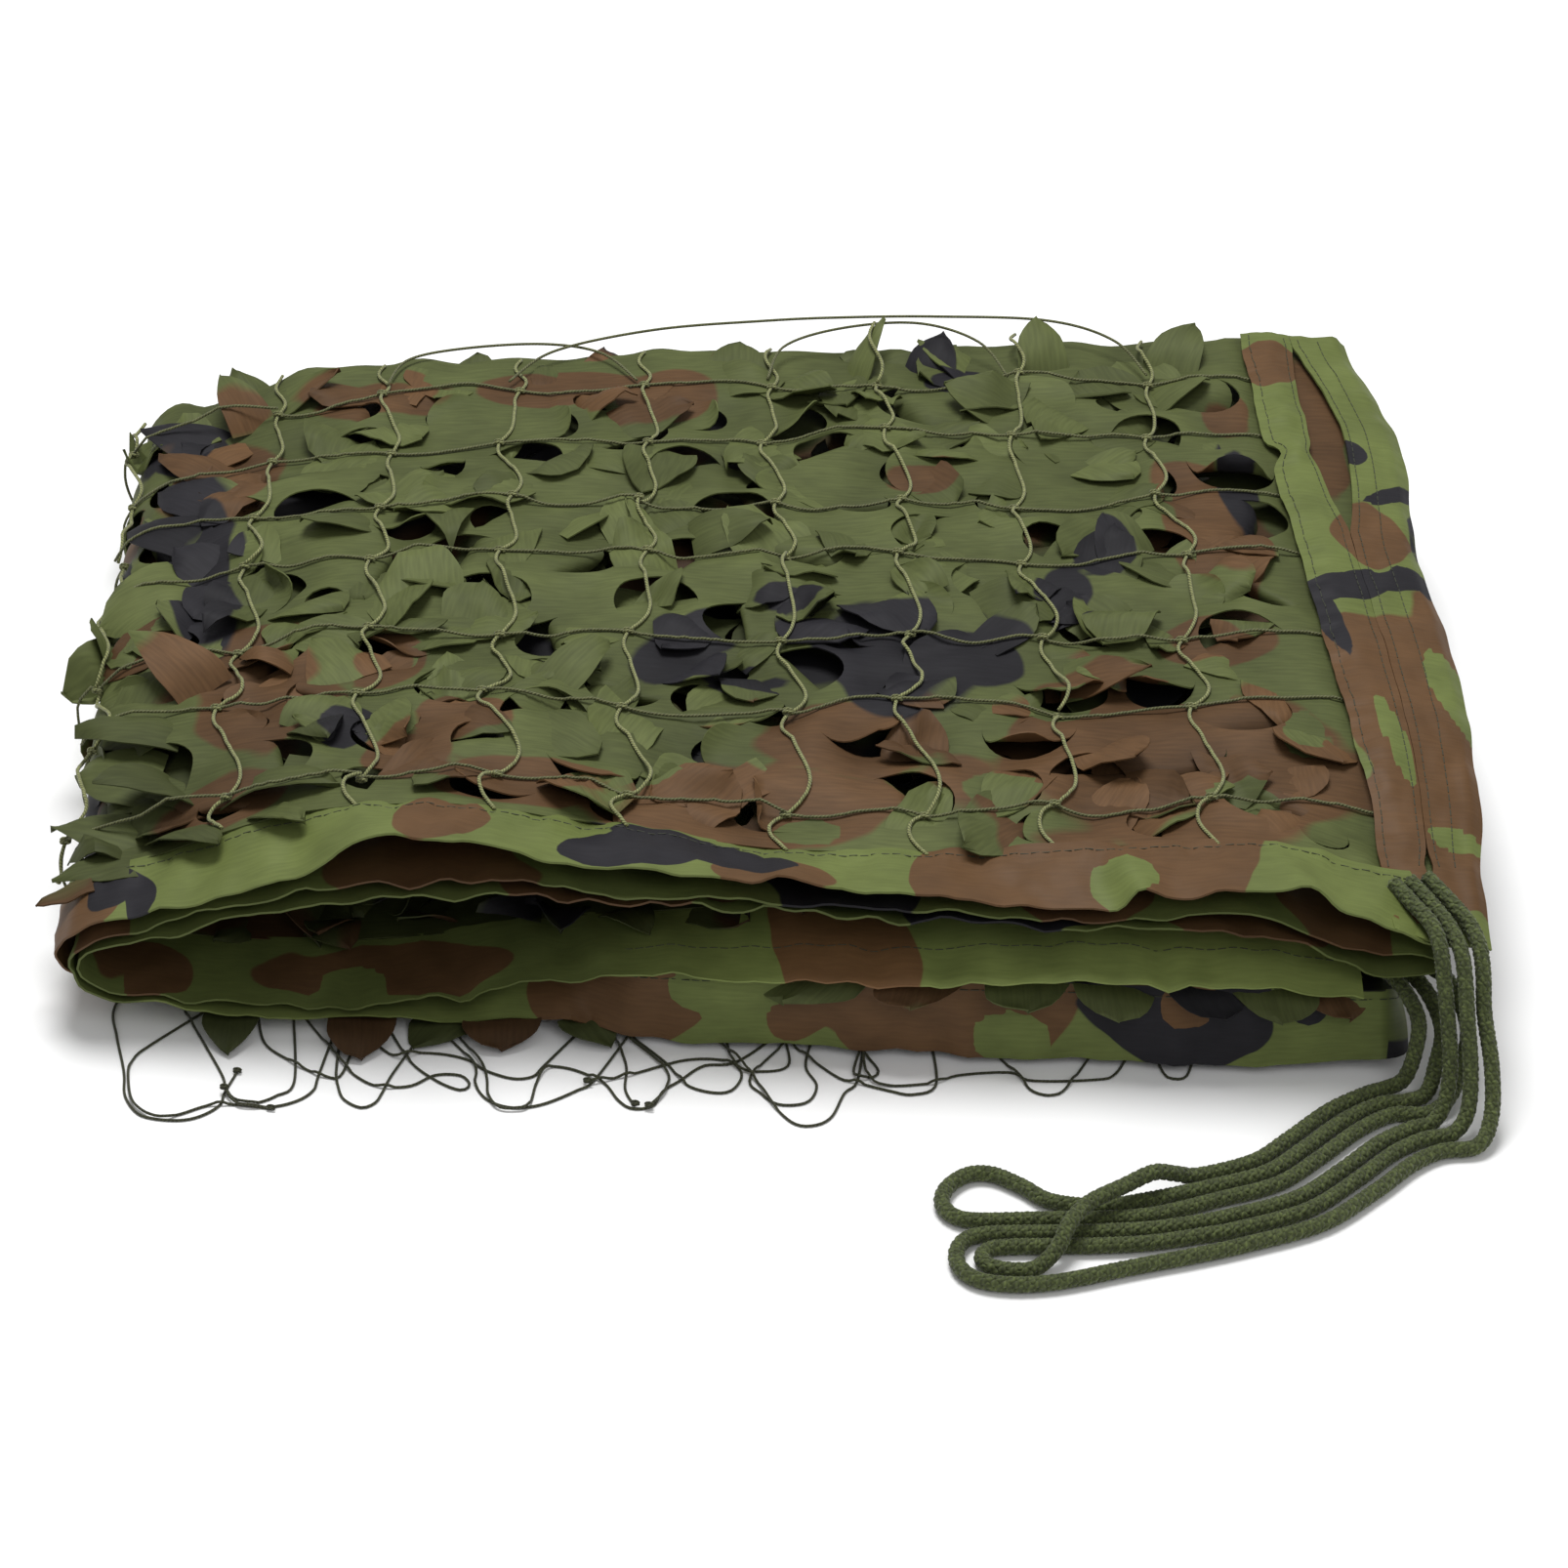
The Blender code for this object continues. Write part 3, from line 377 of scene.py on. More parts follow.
class NET_PG_cloth(bpy.types.PropertyGroup):
    thickness: size("Leaf cloth", "Thickness of the leaf-cut cloth in mm", 0.45, 0.1, 2)
    tape: size("Binding", "Thickness of the doubled binding in mm", 0.7, 0.2, 3)
    bulge: size("Bulge", "Height of the cloth's broad waves in mm", 3.2, 0, 6)
    leaf: size("Leaf", "Largest radius of a leaf cut in mm", 13.5, 8, 30)
    green: colour("Leaf green", "Ground colour of the leaf cloth", "#555C35")
    light: colour("Binding green", "Ground colour of the bindings", "#616B3A")
    brown: colour("Brown", "Brown ink", "#5C432B")
    dark: colour("Charcoal", "Charcoal ink", "#222125")


class NET_PG_cords(bpy.types.PropertyGroup):
    net: size("Net cord", "Diameter of the cord mesh's twine in mm", 1.25, 0.5, 3)
    rope: size("Drawcord", "Diameter of the braided rope in mm", 5.0, 2, 10)
    knot: size("Knot", "Width of a mesh knot in mm", 3.4, 1, 6)
    net_colour: colour("Net colour", "Twine", "#75784C")
    rope_colour: colour("Rope colour", "Braided rope", "#48512A")


class NET_PG_stitches(bpy.types.PropertyGroup):
    pitch: size("Stitch pitch", "Distance between stitches in mm", 3.2, 1, 8)
    length: size("Stitch", "Length of one stitch in mm", 2.4, 0.5, 6)
    thread: size("Thread", "Diameter of the sewing thread in mm", 0.32, 0.1, 1)


# ---------------------------------------------------------------- helpers


def smooth_step(value):
    value = np.clip(value, 0.0, 1.0)
    return value * value * (3 - 2 * value)


def read_table(rows, at, key, column):
    """A column of a table, read smoothly at places on its key column and level past its ends."""
    keys = np.array([getattr(row, key) for row in rows], float)
    values = np.array([getattr(row, column) for row in rows], float)
    before = np.maximum(np.arange(len(keys)) - 1, 0)
    after = np.minimum(np.arange(len(keys)) + 1, len(keys) - 1)
    slopes = (values[after] - values[before]) / (keys[after] - keys[before])
    at = np.clip(at, keys[0], keys[-1])
    i = np.clip(np.searchsorted(keys, at, side="right") - 1, 0, len(keys) - 2)
    span = keys[i + 1] - keys[i]
    t = (at - keys[i]) / span
    return (
        (2 * t**3 - 3 * t**2 + 1) * values[i]
        + (-2 * t**3 + 3 * t**2) * values[i + 1]
        + (t**3 - 2 * t**2 + t) * span * slopes[i]
        + (t**3 - t**2) * span * slopes[i + 1]
    )


def front_y(x):
    return read_table(FRONT_LINE, x, "x", "y")


def rear_y(x):
    return read_table(REAR_LINE, x, "x", "y")


def band_left(y):
    return read_table(LEFT_LINE, y, "y", "x")


def band_right(y):
    return read_table(RIGHT_LINE, y, "y", "x")


def ripple(a, b, scale, seed):
    """Smooth noise between about -1 and 1 at places a, b, with waves as long as scale."""
    a, b = np.broadcast_arrays(np.asarray(a, float) / scale, np.asarray(b, float) / scale)
    found = [noise.noise((p, q, seed)) for p, q in zip(a.ravel(), b.ravel())]
    return np.reshape(found, a.shape)


def bump_at(value, middle, width):
    """A smooth hump: 1 at the middle and nearly 0 from two widths on."""
    return np.exp(-(((value - middle) / width) ** 2))


def tree_of(points, flat=True):
    """A search tree of points, by their x and y alone if flat."""
    tree = KDTree(len(points))
    for n, point in enumerate(points):
        tree.insert((point[0], point[1], 0) if flat else point, n)
    tree.balance()
    return tree


def place(points):
    """Table millimetres to the part's metres."""
    return (np.asarray(points, float) + (0, TABLES_BACK, 0)) * MM


def edge_point(layer, x, which):
    """A point of the front tape's outer edge, or with "seam" of its sewn edge."""
    rows = LAYERS[layer]
    back = read_table(rows, x, "x", which + "_in")
    return np.stack([x, front_y(x) + back, read_table(rows, x, "x", which + "_z")], axis=-1)


def tape_point(layer, x, across):
    """A point of the front tape: across is 0 at its outer edge and 1 at its sewn edge."""
    edge, seam = edge_point(layer, x, "edge"), edge_point(layer, x, "seam")
    return edge + (seam - edge) * across[..., None]


def bed_height(layer, x, y, seam):
    """The cloth's height behind a place of the sewn edge, without its folds."""
    bed = read_table(LAYERS[layer], x, "x", "bed_z")
    share = smooth_step((y - seam[..., 1]) / BED_DEPTH)
    swell = 0.0
    if layer != BOTTOM:
        swell = WAVE_HEIGHT * ripple(x, y, WAVE_LENGTH, layer * 0.2 if layer > TOP else 0) * share
    return seam[..., 2] + (bed - seam[..., 2]) * share + swell


def cloth_point(layer, x, across):
    """A point of the leaf cloth: across is 0 beside the tape and 1 at the rear edge."""
    seam = edge_point(layer, x, "seam")
    start = seam[..., 1] - 1.0
    y = start + (rear_y(x) - start) * across
    return np.stack([x, y, bed_height(layer, x, y, seam)], axis=-1)


def top_height(x, y):
    """The height of the top layer's cloth, without its folds."""
    return bed_height(TOP, x, y, edge_point(TOP, x, "seam"))


def strip_point(s, across, point):
    """Points of a strip that runs along the folded sheet, in stack millimetres."""
    s, across = np.broadcast_arrays(np.asarray(s, float), np.asarray(across, float))
    found = np.zeros(s.shape + (3,))
    start = 0.0
    for number, (layer, bend, length) in enumerate(STRETCHES):
        last = number == len(STRETCHES) - 1
        mask = (s >= start) & ((s < start + length) | last)
        t, a = (s[mask] - start) / length, across[mask]
        if layer == TOP:
            depth = point(TOP, np.full(t.shape, NEAR_BAND), a)[..., 1]
            right = np.minimum(band_left(depth) + UNDER_BAND, band_right(depth) - INSIDE_BAND)
            found[mask] = point(TOP, right + (LEFT_END - right) * t, a)
        elif layer:
            right = FREE_END if layer == FOURTH else RIGHT_END
            leftward = layer in (FIFTH, THIRD)
            x = right + (LEFT_END - right) * t if leftward else LEFT_END + (right - LEFT_END) * t
            found[mask] = point(layer, x, a)
        else:
            x, turn = np.full(t.shape, float(bend.x)), math.pi * t
            share = ((1 - np.cos(turn)) / 2)[..., None]
            ends = point(bend.first, x, a), point(bend.last, x, a)
            found[mask] = ends[0] + (ends[1] - ends[0]) * share
            found[mask, 0] += bend.reach * np.sin(turn)
        start += length
    return found


def strip_normal(s, across, point, step=1.5, share=0.01):
    """The strip's outward directions: up on the top layer, left at the left end."""
    along = strip_point(np.clip(s + step, 0, SHEET_LENGTH), across, point)
    along -= strip_point(np.clip(s - step, 0, SHEET_LENGTH), across, point)
    over = strip_point(s, np.clip(across + share, 0, 1), point)
    over -= strip_point(s, np.clip(across - share, 0, 1), point)
    normal = -np.cross(along, over)
    return normal / np.maximum(np.linalg.norm(normal, axis=-1, keepdims=True), 1e-9)


def layer_at(s):
    """The layer at each place on s, or minus the layer before it on a bend."""
    found = np.zeros(np.shape(s), int)
    start = 0.0
    for layer, bend, length in STRETCHES:
        found[s >= start] = layer if layer else -bend.first
        start += length
    return found


def along_route(route):
    """How far along a route each of its points is."""
    return np.concatenate([[0], np.cumsum(np.linalg.norm(np.diff(route, axis=0), axis=1))])


def smooth_route(points, spacing, steps=20):
    """Evenly spaced points on a smooth curve through a route's points."""
    points = np.asarray(points, float)
    dense = []
    for i in range(len(points) - 1):
        p0, p1 = points[max(0, i - 1)], points[i]
        p2, p3 = points[i + 1], points[min(len(points) - 1, i + 2)]
        for t in np.arange(steps) / steps:
            turn = (2 * p0 - 5 * p1 + 4 * p2 - p3) * t**2 + (3 * p1 - p0 - 3 * p2 + p3) * t**3
            dense.append((2 * p1 + (p2 - p0) * t + turn) / 2)
    dense.append(points[-1])
    dense = np.array(dense)
    lengths = along_route(dense)
    goals = np.linspace(0, lengths[-1], max(2, round(lengths[-1] / spacing) + 1))
    return np.stack([np.interp(goals, lengths, column) for column in dense.T], 1)


def route_frames(route):
    """A tangent and two sideways directions at each point of a route, turned as little as can
    be. No route here starts upright."""
    way = np.gradient(route, axis=0)
    way /= np.maximum(np.linalg.norm(way, axis=1, keepdims=True), 1e-9)
    side = np.zeros_like(way)
    first = np.cross(way[0], (0, 0, 1.0))
    side[0] = first / np.linalg.norm(first)
    for i in range(1, len(way)):
        turned = side[i - 1] - way[i] * side[i - 1].dot(way[i])
        side[i] = turned / max(np.linalg.norm(turned), 1e-9)
    return way, side, np.cross(way, side)


class Build:
    """Gathers closed tubes in millimetres, with UVs and brightness values, and makes one piece of
    them.
    """

    def __init__(self):
        self.points, self.faces, self.uvs, self.tones, self.count = [], [], [], [], 0

    def tube(self, route, across, up=None, sides=6, frames=None, tone=0.5):
        """A tube along a route, with UVs along it and round it. It is round without an up."""
        _, side, rise = frames if frames else route_frames(route)
        turns = np.arange(sides) * math.tau / sides
        ring = side[:, None] * (np.cos(turns) * across)[None, :, None]
        ring = ring + rise[:, None] * (np.sin(turns) * (up or across))[None, :, None]
        rings, base = len(route), self.count
        self.points.append((route[:, None] + ring).reshape(-1, 3))
        self.tones.append(np.full(rings * sides, tone))
        self.count += rings * sides
        steps = along_route(route)
        i, j = np.meshgrid(np.arange(rings - 1), np.arange(sides), indexing="ij")
        i, j = i.ravel(), j.ravel()
        corners = ((0, 0), (0, 1), (1, 1), (1, 0))
        quads = [base + (i + m) * sides + (j + n) % sides for m, n in corners]
        self.faces += [tuple(q) for q in np.stack(quads, 1).tolist()]
        uv = [np.stack([steps[i + m], (j + n) / sides], 1) for m, n in corners]
        self.uvs.append(np.stack(uv, 1).reshape(-1, 2))
        last = base + (rings - 1) * sides
        for start, order in ((base, reversed(range(sides))), (last, range(sides))):
            self.faces.append(tuple(start + n for n in order))
            self.uvs.append(np.zeros((sides, 2)))

    def piece(self, name, material):
        obj = mesh_piece(name, np.concatenate(self.points), self.faces, material)
        set_uv(obj, np.concatenate(self.uvs))
        add_attributes(obj, tone=np.concatenate(self.tones))
        return obj


def grid_quads(rows, columns):
    """The quads of a grid of points that are numbered row by row."""
    i, j = np.meshgrid(np.arange(rows - 1), np.arange(columns - 1), indexing="ij")
    first = (i * columns + j).ravel()
    return np.stack([first, first + 1, first + columns + 1, first + columns], 1)


def add_object(name, data):
    obj = bpy.data.objects.new(name, data)
    bpy.context.scene.collection.objects.link(obj)
    return obj


def mesh_piece(name, points, faces, material):
    """A smooth piece from points in table millimetres and faces of point numbers."""
    data = bpy.data.meshes.new(name)
    data.from_pydata(place(points).tolist(), [], faces)
    data.update()
    data.shade_smooth()
    data.materials.append(material)
    return add_object(name, data)


def add_attributes(obj, **columns):
    """Values at the points, by name, for the materials to read."""
    for name, values in columns.items():
        attribute = obj.data.attributes.new(name, "FLOAT", "POINT")
        attribute.data.foreach_set("value", np.asarray(values, np.float32))


def set_uv(obj, corners):
    layer = obj.data.uv_layers.new(name="UVMap")
    layer.data.foreach_set("uv", corners.astype(np.float32).ravel())


def add_point_uv(obj, uv):
    """A UV map from one place per point."""
    index = np.empty(len(obj.data.loops), np.int32)
    obj.data.loops.foreach_get("vertex_index", index)
    set_uv(obj, uv[index])


def finish_piece(obj, slot, *nodes):
    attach(obj, "root")
    if nodes:
        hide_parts(*nodes)


def evaluated_mesh(obj):
    graph = bpy.context.evaluated_depsgraph_get()
    return bpy.data.meshes.new_from_object(obj.evaluated_get(graph), depsgraph=graph)


SHARP_FROM = 42


def thicken(obj, thickness):
    """Gives a sheet its thickness in its own mesh, with crisp cut edges."""
    solid = obj.modifiers.new("Thickness", "SOLIDIFY")
    solid.thickness = thickness * MM
    solid.offset = 0.0
    solid.use_even_offset = False
    made = evaluated_mesh(obj)
    obj.modifiers.clear()
    old, obj.data = obj.data, made
    bpy.data.meshes.remove(old)
    obj.data.set_sharp_from_angle(angle=math.radians(SHARP_FROM))


# ---------------------------------------------------------------- materials


def linear(text):
    """An sRGB hex colour as linear RGBA."""
    parts = [int(text[i : i + 2], 16) / 255 for i in (1, 3, 5)]
    return (*[p / 12.92 if p <= 0.04045 else ((p + 0.055) / 1.055) ** 2.4 for p in parts], 1.0)


def node(tree, kind, settings=None, **links):
    """Adds a node. Settings are its properties, or input values by name or number. Links are
    sockets for its inputs, by name with _ for a space, or by number after an n."""
    made = tree.nodes.new(kind)
    for key, value in (settings or {}).items():
        if isinstance(key, int) or key in made.inputs:
            made.inputs[key].default_value = value
        else:
            setattr(made, key, value)
    for key, socket in links.items():
        target = int(key[1:]) if key[0] == "n" and key[1:].isdigit() else key.replace("_", " ")
        tree.links.new(socket, made.inputs[target])
    return made


def new_material(name):
    material = bpy.data.materials.new(name)
    material.use_nodes = True
    tree = material.node_tree
    return material, tree, tree.nodes["Principled BSDF"]


def plain_material(name, hex_colour, roughness):
    material, _, shader = new_material(name)
    shader.inputs["Base Color"].default_value = linear(hex_colour)
    shader.inputs["Roughness"].default_value = roughness
    return material


def set_surface(tree, shader, paint, level, height, bump, values):
    """The paint at its level, a bump of fibres 0.2 mm high, and the shader's plain values."""
    shade = node(tree, "ShaderNodeVectorMath", {"operation": "SCALE"}, n0=paint, Scale=level)
    raised = node(tree, "ShaderNodeBump", {"Strength": bump, "Distance": 0.0002}, Height=height)
    tree.links.new(shade.outputs[0], shader.inputs["Base Color"])
    tree.links.new(raised.outputs[0], shader.inputs["Normal"])
    for name, value in values.items():
        shader.inputs[name].default_value = value


# The print's inks as clouds of noise with lobes 40 to 80 mm long: the noise's scale, its offset
# and the level above which it inks.
INK_CLOUDS = {"brown": (19.0, 0.0, 0.53), "dark": (20.0, 3.7, 0.58)}


def camouflage(name, ground, cloth, weave, roughness, blur=0.006):
    """Printed polyester cloth: flat inks with wavy edges over a fine woven rib."""
    material, tree, shader = new_material(name)
    uv = node(tree, "ShaderNodeUVMap", {"uv_map": "UVMap"}).outputs[0]
    # A smaller wave makes the lobes' edges wander.
    bent = node(tree, "ShaderNodeTexNoise", {"Scale": 38.0, "Detail": 1.0}, Vector=uv)
    shift = node(tree, "ShaderNodeVectorMath", {"operation": "SCALE", "Scale": 0.022},
                 n0=bent.outputs["Color"])
    flat = node(tree, "ShaderNodeVectorMath", {"operation": "ADD"}, n0=uv, n1=shift.outputs[0])
    inks = {}
    for ink, (scale, offset, limit) in INK_CLOUDS.items():
        moved = node(tree, "ShaderNodeVectorMath", {"operation": "ADD", 1: (offset, offset, 0)},
                     n0=flat.outputs[0])
        cloud = node(tree, "ShaderNodeTexNoise", {"Scale": scale, "Detail": 1.2},
                     Vector=moved.outputs[0])
        bias = node(tree, "ShaderNodeAttribute", {"attribute_name": ink})
        field = node(tree, "ShaderNodeMath", {"operation": "ADD"},
                     n0=cloud.outputs["Fac"], n1=bias.outputs["Fac"])
        inks[ink] = node(tree, "ShaderNodeMapRange", {1: limit - blur, 2: limit + blur},
                         n0=field.outputs[0]).outputs[0]
    colours = {"data_type": "RGBA", 6: linear(ground), 7: linear(cloth.brown)}
    paint = node(tree, "ShaderNodeMix", colours, n0=inks["brown"])
    paint = node(tree, "ShaderNodeMix", {"data_type": "RGBA", 7: linear(cloth.dark)},
                 n0=inks["dark"], n6=paint.outputs[2])
    # Dye takes unevenly: soft cloudy tones 12 to 30 mm across.
    cloud = node(tree, "ShaderNodeTexNoise", {"Scale": 55.0, "Detail": 3.0}, Vector=uv)
    tone = node(tree, "ShaderNodeMapRange", {1: 0.3, 2: 0.7, 3: 0.86, 4: 1.12},
                n0=cloud.outputs["Fac"])
    # Ribs of the weave: 1.1 mm apart, about three real threads, so that they show in the render.
    stretched = node(tree, "ShaderNodeMapping", {"Scale": (110.0, 900.0, 1.0)}, Vector=uv)
    rib = node(tree, "ShaderNodeTexNoise", {"Scale": 1.0, "Detail": 1.0},
               Vector=stretched.outputs[0]).outputs["Fac"]
    line = node(tree, "ShaderNodeMapRange", {1: 0.3, 2: 0.7, 3: 1 - weave, 4: 1 + weave}, n0=rib)
    # The shade attribute carries the painted light and shade that each piece sets at its points.
    shade = node(tree, "ShaderNodeAttribute", {"attribute_name": "shade"})
    level = tone.outputs[0]
    for factor in (line.outputs[0], shade.outputs["Fac"]):
        level = node(tree, "ShaderNodeMath", {"operation": "MULTIPLY"}, n0=level, n1=factor)
        level = level.outputs[0]
    values = {"Roughness": roughness, "Specular IOR Level": 0.16}
    set_surface(tree, shader, paint.outputs[2], level, rib, 0.25, values)
    return material


def twine(name, hex_colour, lay, dark, light, roughness):
    """Twisted or braided fibre: a painted highlight on the ridges where a strand turns up, and
    painted shade between them.
    """
    material, tree, shader = new_material(name)
    uv = node(tree, "ShaderNodeUVMap", {"uv_map": "UVMap"}).outputs[0]
    parts = node(tree, "ShaderNodeSeparateXYZ", Vector=uv)
    # Along the cord one turn takes `lay` millimetres, and round it the stripe climbs once.
    along = node(tree, "ShaderNodeMath", {"operation": "MULTIPLY", 1: 1 / lay}, n0=parts.outputs[0])
    spiral = node(tree, "ShaderNodeMath", {"operation": "ADD"},
                  n0=along.outputs[0], n1=parts.outputs[1])
    angle = node(tree, "ShaderNodeMath", {"operation": "MULTIPLY", 1: math.tau * 2},
                 n0=spiral.outputs[0])
    stripe = node(tree, "ShaderNodeMath", {"operation": "SINE"}, n0=angle.outputs[0]).outputs[0]
    place_at = node(tree, "ShaderNodeTexCoord")
    fibre = node(tree, "ShaderNodeTexNoise", {"Scale": 900.0, "Detail": 2.0},
                 Vector=place_at.outputs["Object"])
    # Painted shade between the ridges and a painted highlight on them.
    painted_ridge_shading = node(tree, "ShaderNodeMapRange", {1: -1.0, 2: 1.0, 3: dark, 4: light}, n0=stripe)
    speck = node(tree, "ShaderNodeMapRange", {1: 0.3, 2: 0.7, 3: 0.75, 4: 1.3},
                 n0=fibre.outputs["Fac"])
    # This attribute differs at random by strand, and is low on the floor loops and their knots as
    # painted shade.
    tone = node(tree, "ShaderNodeAttribute", {"attribute_name": "tone"})
    strand = node(tree, "ShaderNodeMapRange", {3: 0.2, 4: 1.6}, n0=tone.outputs["Fac"])
    level = painted_ridge_shading.outputs[0]
    for factor in (speck.outputs[0], strand.outputs[0]):
        level = node(tree, "ShaderNodeMath", {"operation": "MULTIPLY"}, n0=level, n1=factor)
        level = level.outputs[0]
    paint = node(tree, "ShaderNodeRGB")
    paint.outputs[0].default_value = linear(hex_colour)
    values = {"Roughness": roughness, "Specular IOR Level": 0.3, "Sheen Weight": 0.15}
    set_surface(tree, shader, paint.outputs[0], level, stripe, 0.5, values)
    return material


# ---------------------------------------------------------------- the leaf cloth

# A cut as an arc round its middle: half its opening angle, a lobe on one side, and its leaf's curl.
Leaf = namedtuple("Leaf", "s w radius turn half lobe curl start drop")


# Kinds of cut: the share of the cuts up to this kind, the curl of its leaf and what a wide one
# adds, the share of the leaf that stays flat, and how far it sags toward its tip.
Kind = namedtuple("Kind", "upto curl wide_curl start drop wide_drop")
KINDS = table(
    Kind,
    (0.26, -0.6, -0.5, 0.05, 2.5, 4.0),
    (0.46, 0.5, 0.6, 0.05, 1.5, 0.0),
    (0.58, 1.6, 1.2, 0.4, 0.0, 0.0),
    (1.0, -0.8, 0.0, 0.1, 6.5, 5.5),
)
# Sizes of cuts, as shares of the largest, and how many places are tried for each.
LEAF_TRIES = ((1.0, 2200), (0.86, 3000), (0.72, 3600), (0.56, 5000))
# No cut comes nearer than this to the right end, the last layer's end, a bend or another cut.
RIGHT_ROOM, END_ROOM, BEND_ROOM, LEAF_ROOM = 32, 3, 4, 1.0


def rear_room(s):
    """How far the cuts stay off the rear edge. Past s = 1200 that edge shows from behind."""
    return 20 if s < FINE_LENGTH else 45 if s > 1200 else 0


def scatter_leaves(cloth):
    """Leaf cuts strewn over the flat sheet, large ones first, none of them touching."""
    chance = random.Random(23)
    leaves = []
    bends, start = [], 0.0
    for _, bend, length in STRETCHES:
        if bend and bend is not BENDS[0]:
            bends.append((start - BEND_ROOM, start + length + BEND_ROOM))
        start += length
    for share, tries in LEAF_TRIES:
        for _ in range(tries):
            radius = cloth.leaf * share * chance.uniform(0.93, 1.0)
            s = chance.uniform(radius + RIGHT_ROOM, SHEET_LENGTH - radius - END_ROOM)
            w = chance.uniform(radius * 1.3, SHEET_DEPTH - radius * 1.3 - rear_room(s))
            turn, half = chance.uniform(0, math.tau), math.radians(chance.uniform(84, 118))
            pick, wide, lobe = chance.random(), chance.random(), chance.uniform(-0.13, 0.16)
            if any(s + radius > a and s - radius < b for a, b in bends):
                continue
            if any(math.hypot(s - o.s, w - o.w) < radius + o.radius + LEAF_ROOM for o in leaves):
                continue
            kind = next(kind for kind in KINDS if pick < kind.upto)
            leaves.append(Leaf(s, w, radius, turn, half, lobe, kind.curl + kind.wide_curl * wide,
                               kind.start, kind.drop + kind.wide_drop * wide))
    return leaves


def leaf_reach(leaf, bearing):
    """The cut's distance from the leaf's middle. Its ends flare and one side has a lobe."""
    b = np.clip(bearing / leaf.half, -1, 1)
    return leaf.radius * (0.94 + 0.1 * b**4 + leaf.lobe * np.cos(2.6 * b + 1) * (1 - b**4))


# Spacings of the sheet's points, fine where it shows: of the grid, along the cuts, and the room
# between the two.
Spacing = namedtuple("Spacing", "grid arc gap")
FINE, COARSE = Spacing(3.1, 2.4, 1.7), Spacing(8.6, 5.2, 3.7)


def spacing(s, past=8):
    return FINE if s < FINE_LENGTH + past else COARSE


def leaf_arc(leaf):
    """The cut's places, from one end to the other."""
    count = max(6, round(2 * leaf.half * leaf.radius / spacing(leaf.s, 0).arc))
    bearing = np.linspace(-leaf.half, leaf.half, count + 1)
    reach, turns = leaf_reach(leaf, bearing), leaf.turn + bearing
    return np.stack([leaf.s + reach * np.cos(turns), leaf.w + reach * np.sin(turns)], 1)


def flat_points(chance):
    """A grid of places over the sheet, shaken a little inside its edges."""
    found = []
    s = 0.0
    while s < SHEET_LENGTH:
        step = spacing(s).grid
        count = round(SHEET_DEPTH / step)
        loose = step * 0.22 if s else 0
        for n in range(count + 1):
            shift = (0, 0)
            if 0 < n < count:
                shift = chance.uniform(-loose, loose), chance.uniform(-loose, loose)
            found.append((s + shift[0], SHEET_DEPTH * n / count + shift[1]))
        s += step
    count = round(SHEET_DEPTH / COARSE.grid)
    return found + [(SHEET_LENGTH, SHEET_DEPTH * n / count) for n in range(count + 1)]


def cut_sheet(leaves):
    """The flat sheet as places, triangles and probes, opened along the leaf cuts. A probe is a
    place just inside the faces at a point, and tells the two sides of a cut apart."""
    arcs, edges = [], []
    for leaf in leaves:
        arc = leaf_arc(leaf)
        edges += [(len(arcs) + n, len(arcs) + n + 1) for n in range(len(arc) - 1)]
        arcs += arc.tolist()
    tree = tree_of(arcs)
    free = []
    for s, w in flat_points(random.Random(7)):
        on_edge = w in (0.0, SHEET_DEPTH) or s in (0.0, SHEET_LENGTH)
        if on_edge or tree.find((s, w, 0))[2] > spacing(s).gap:
            free.append((s, w))
    places = [Vector(p) for p in arcs + free]
    found, lines, faces, _, from_edges, _ = delaunay_2d_cdt(places, edges, [], 0, 1e-4, True)
    mesh = bmesh.new()
    verts = [mesh.verts.new((p.x, p.y, 0)) for p in found]
    for face in faces:
        mesh.faces.new([verts[n] for n in face])
    cuts = [mesh.edges.get((verts[a], verts[b]))
            for (a, b), source in zip(lines, from_edges) if source]
    bmesh.ops.split_edges(mesh, edges=[edge for edge in cuts if edge])
    mesh.verts.index_update()
    flat, probe = [], []
    for vert in mesh.verts:
        around = [face.calc_center_median()[:2] for face in vert.link_faces]
        flat.append(vert.co[:2])
        probe.append(np.mean(around, axis=0) if around else vert.co[:2])
    flat, probe = np.array(flat), np.array(probe)
    triangles = [tuple(v.index for v in f.verts) for f in mesh.faces]
    mesh.free()
    return flat, flat + (probe - flat) * 0.5, triangles


# Round a leaf the cloth lifts and draws back a little, over this width.
RIM_LIFT, RIM_DRAW, RIM_WIDTH = 2.0, 0.7, 7


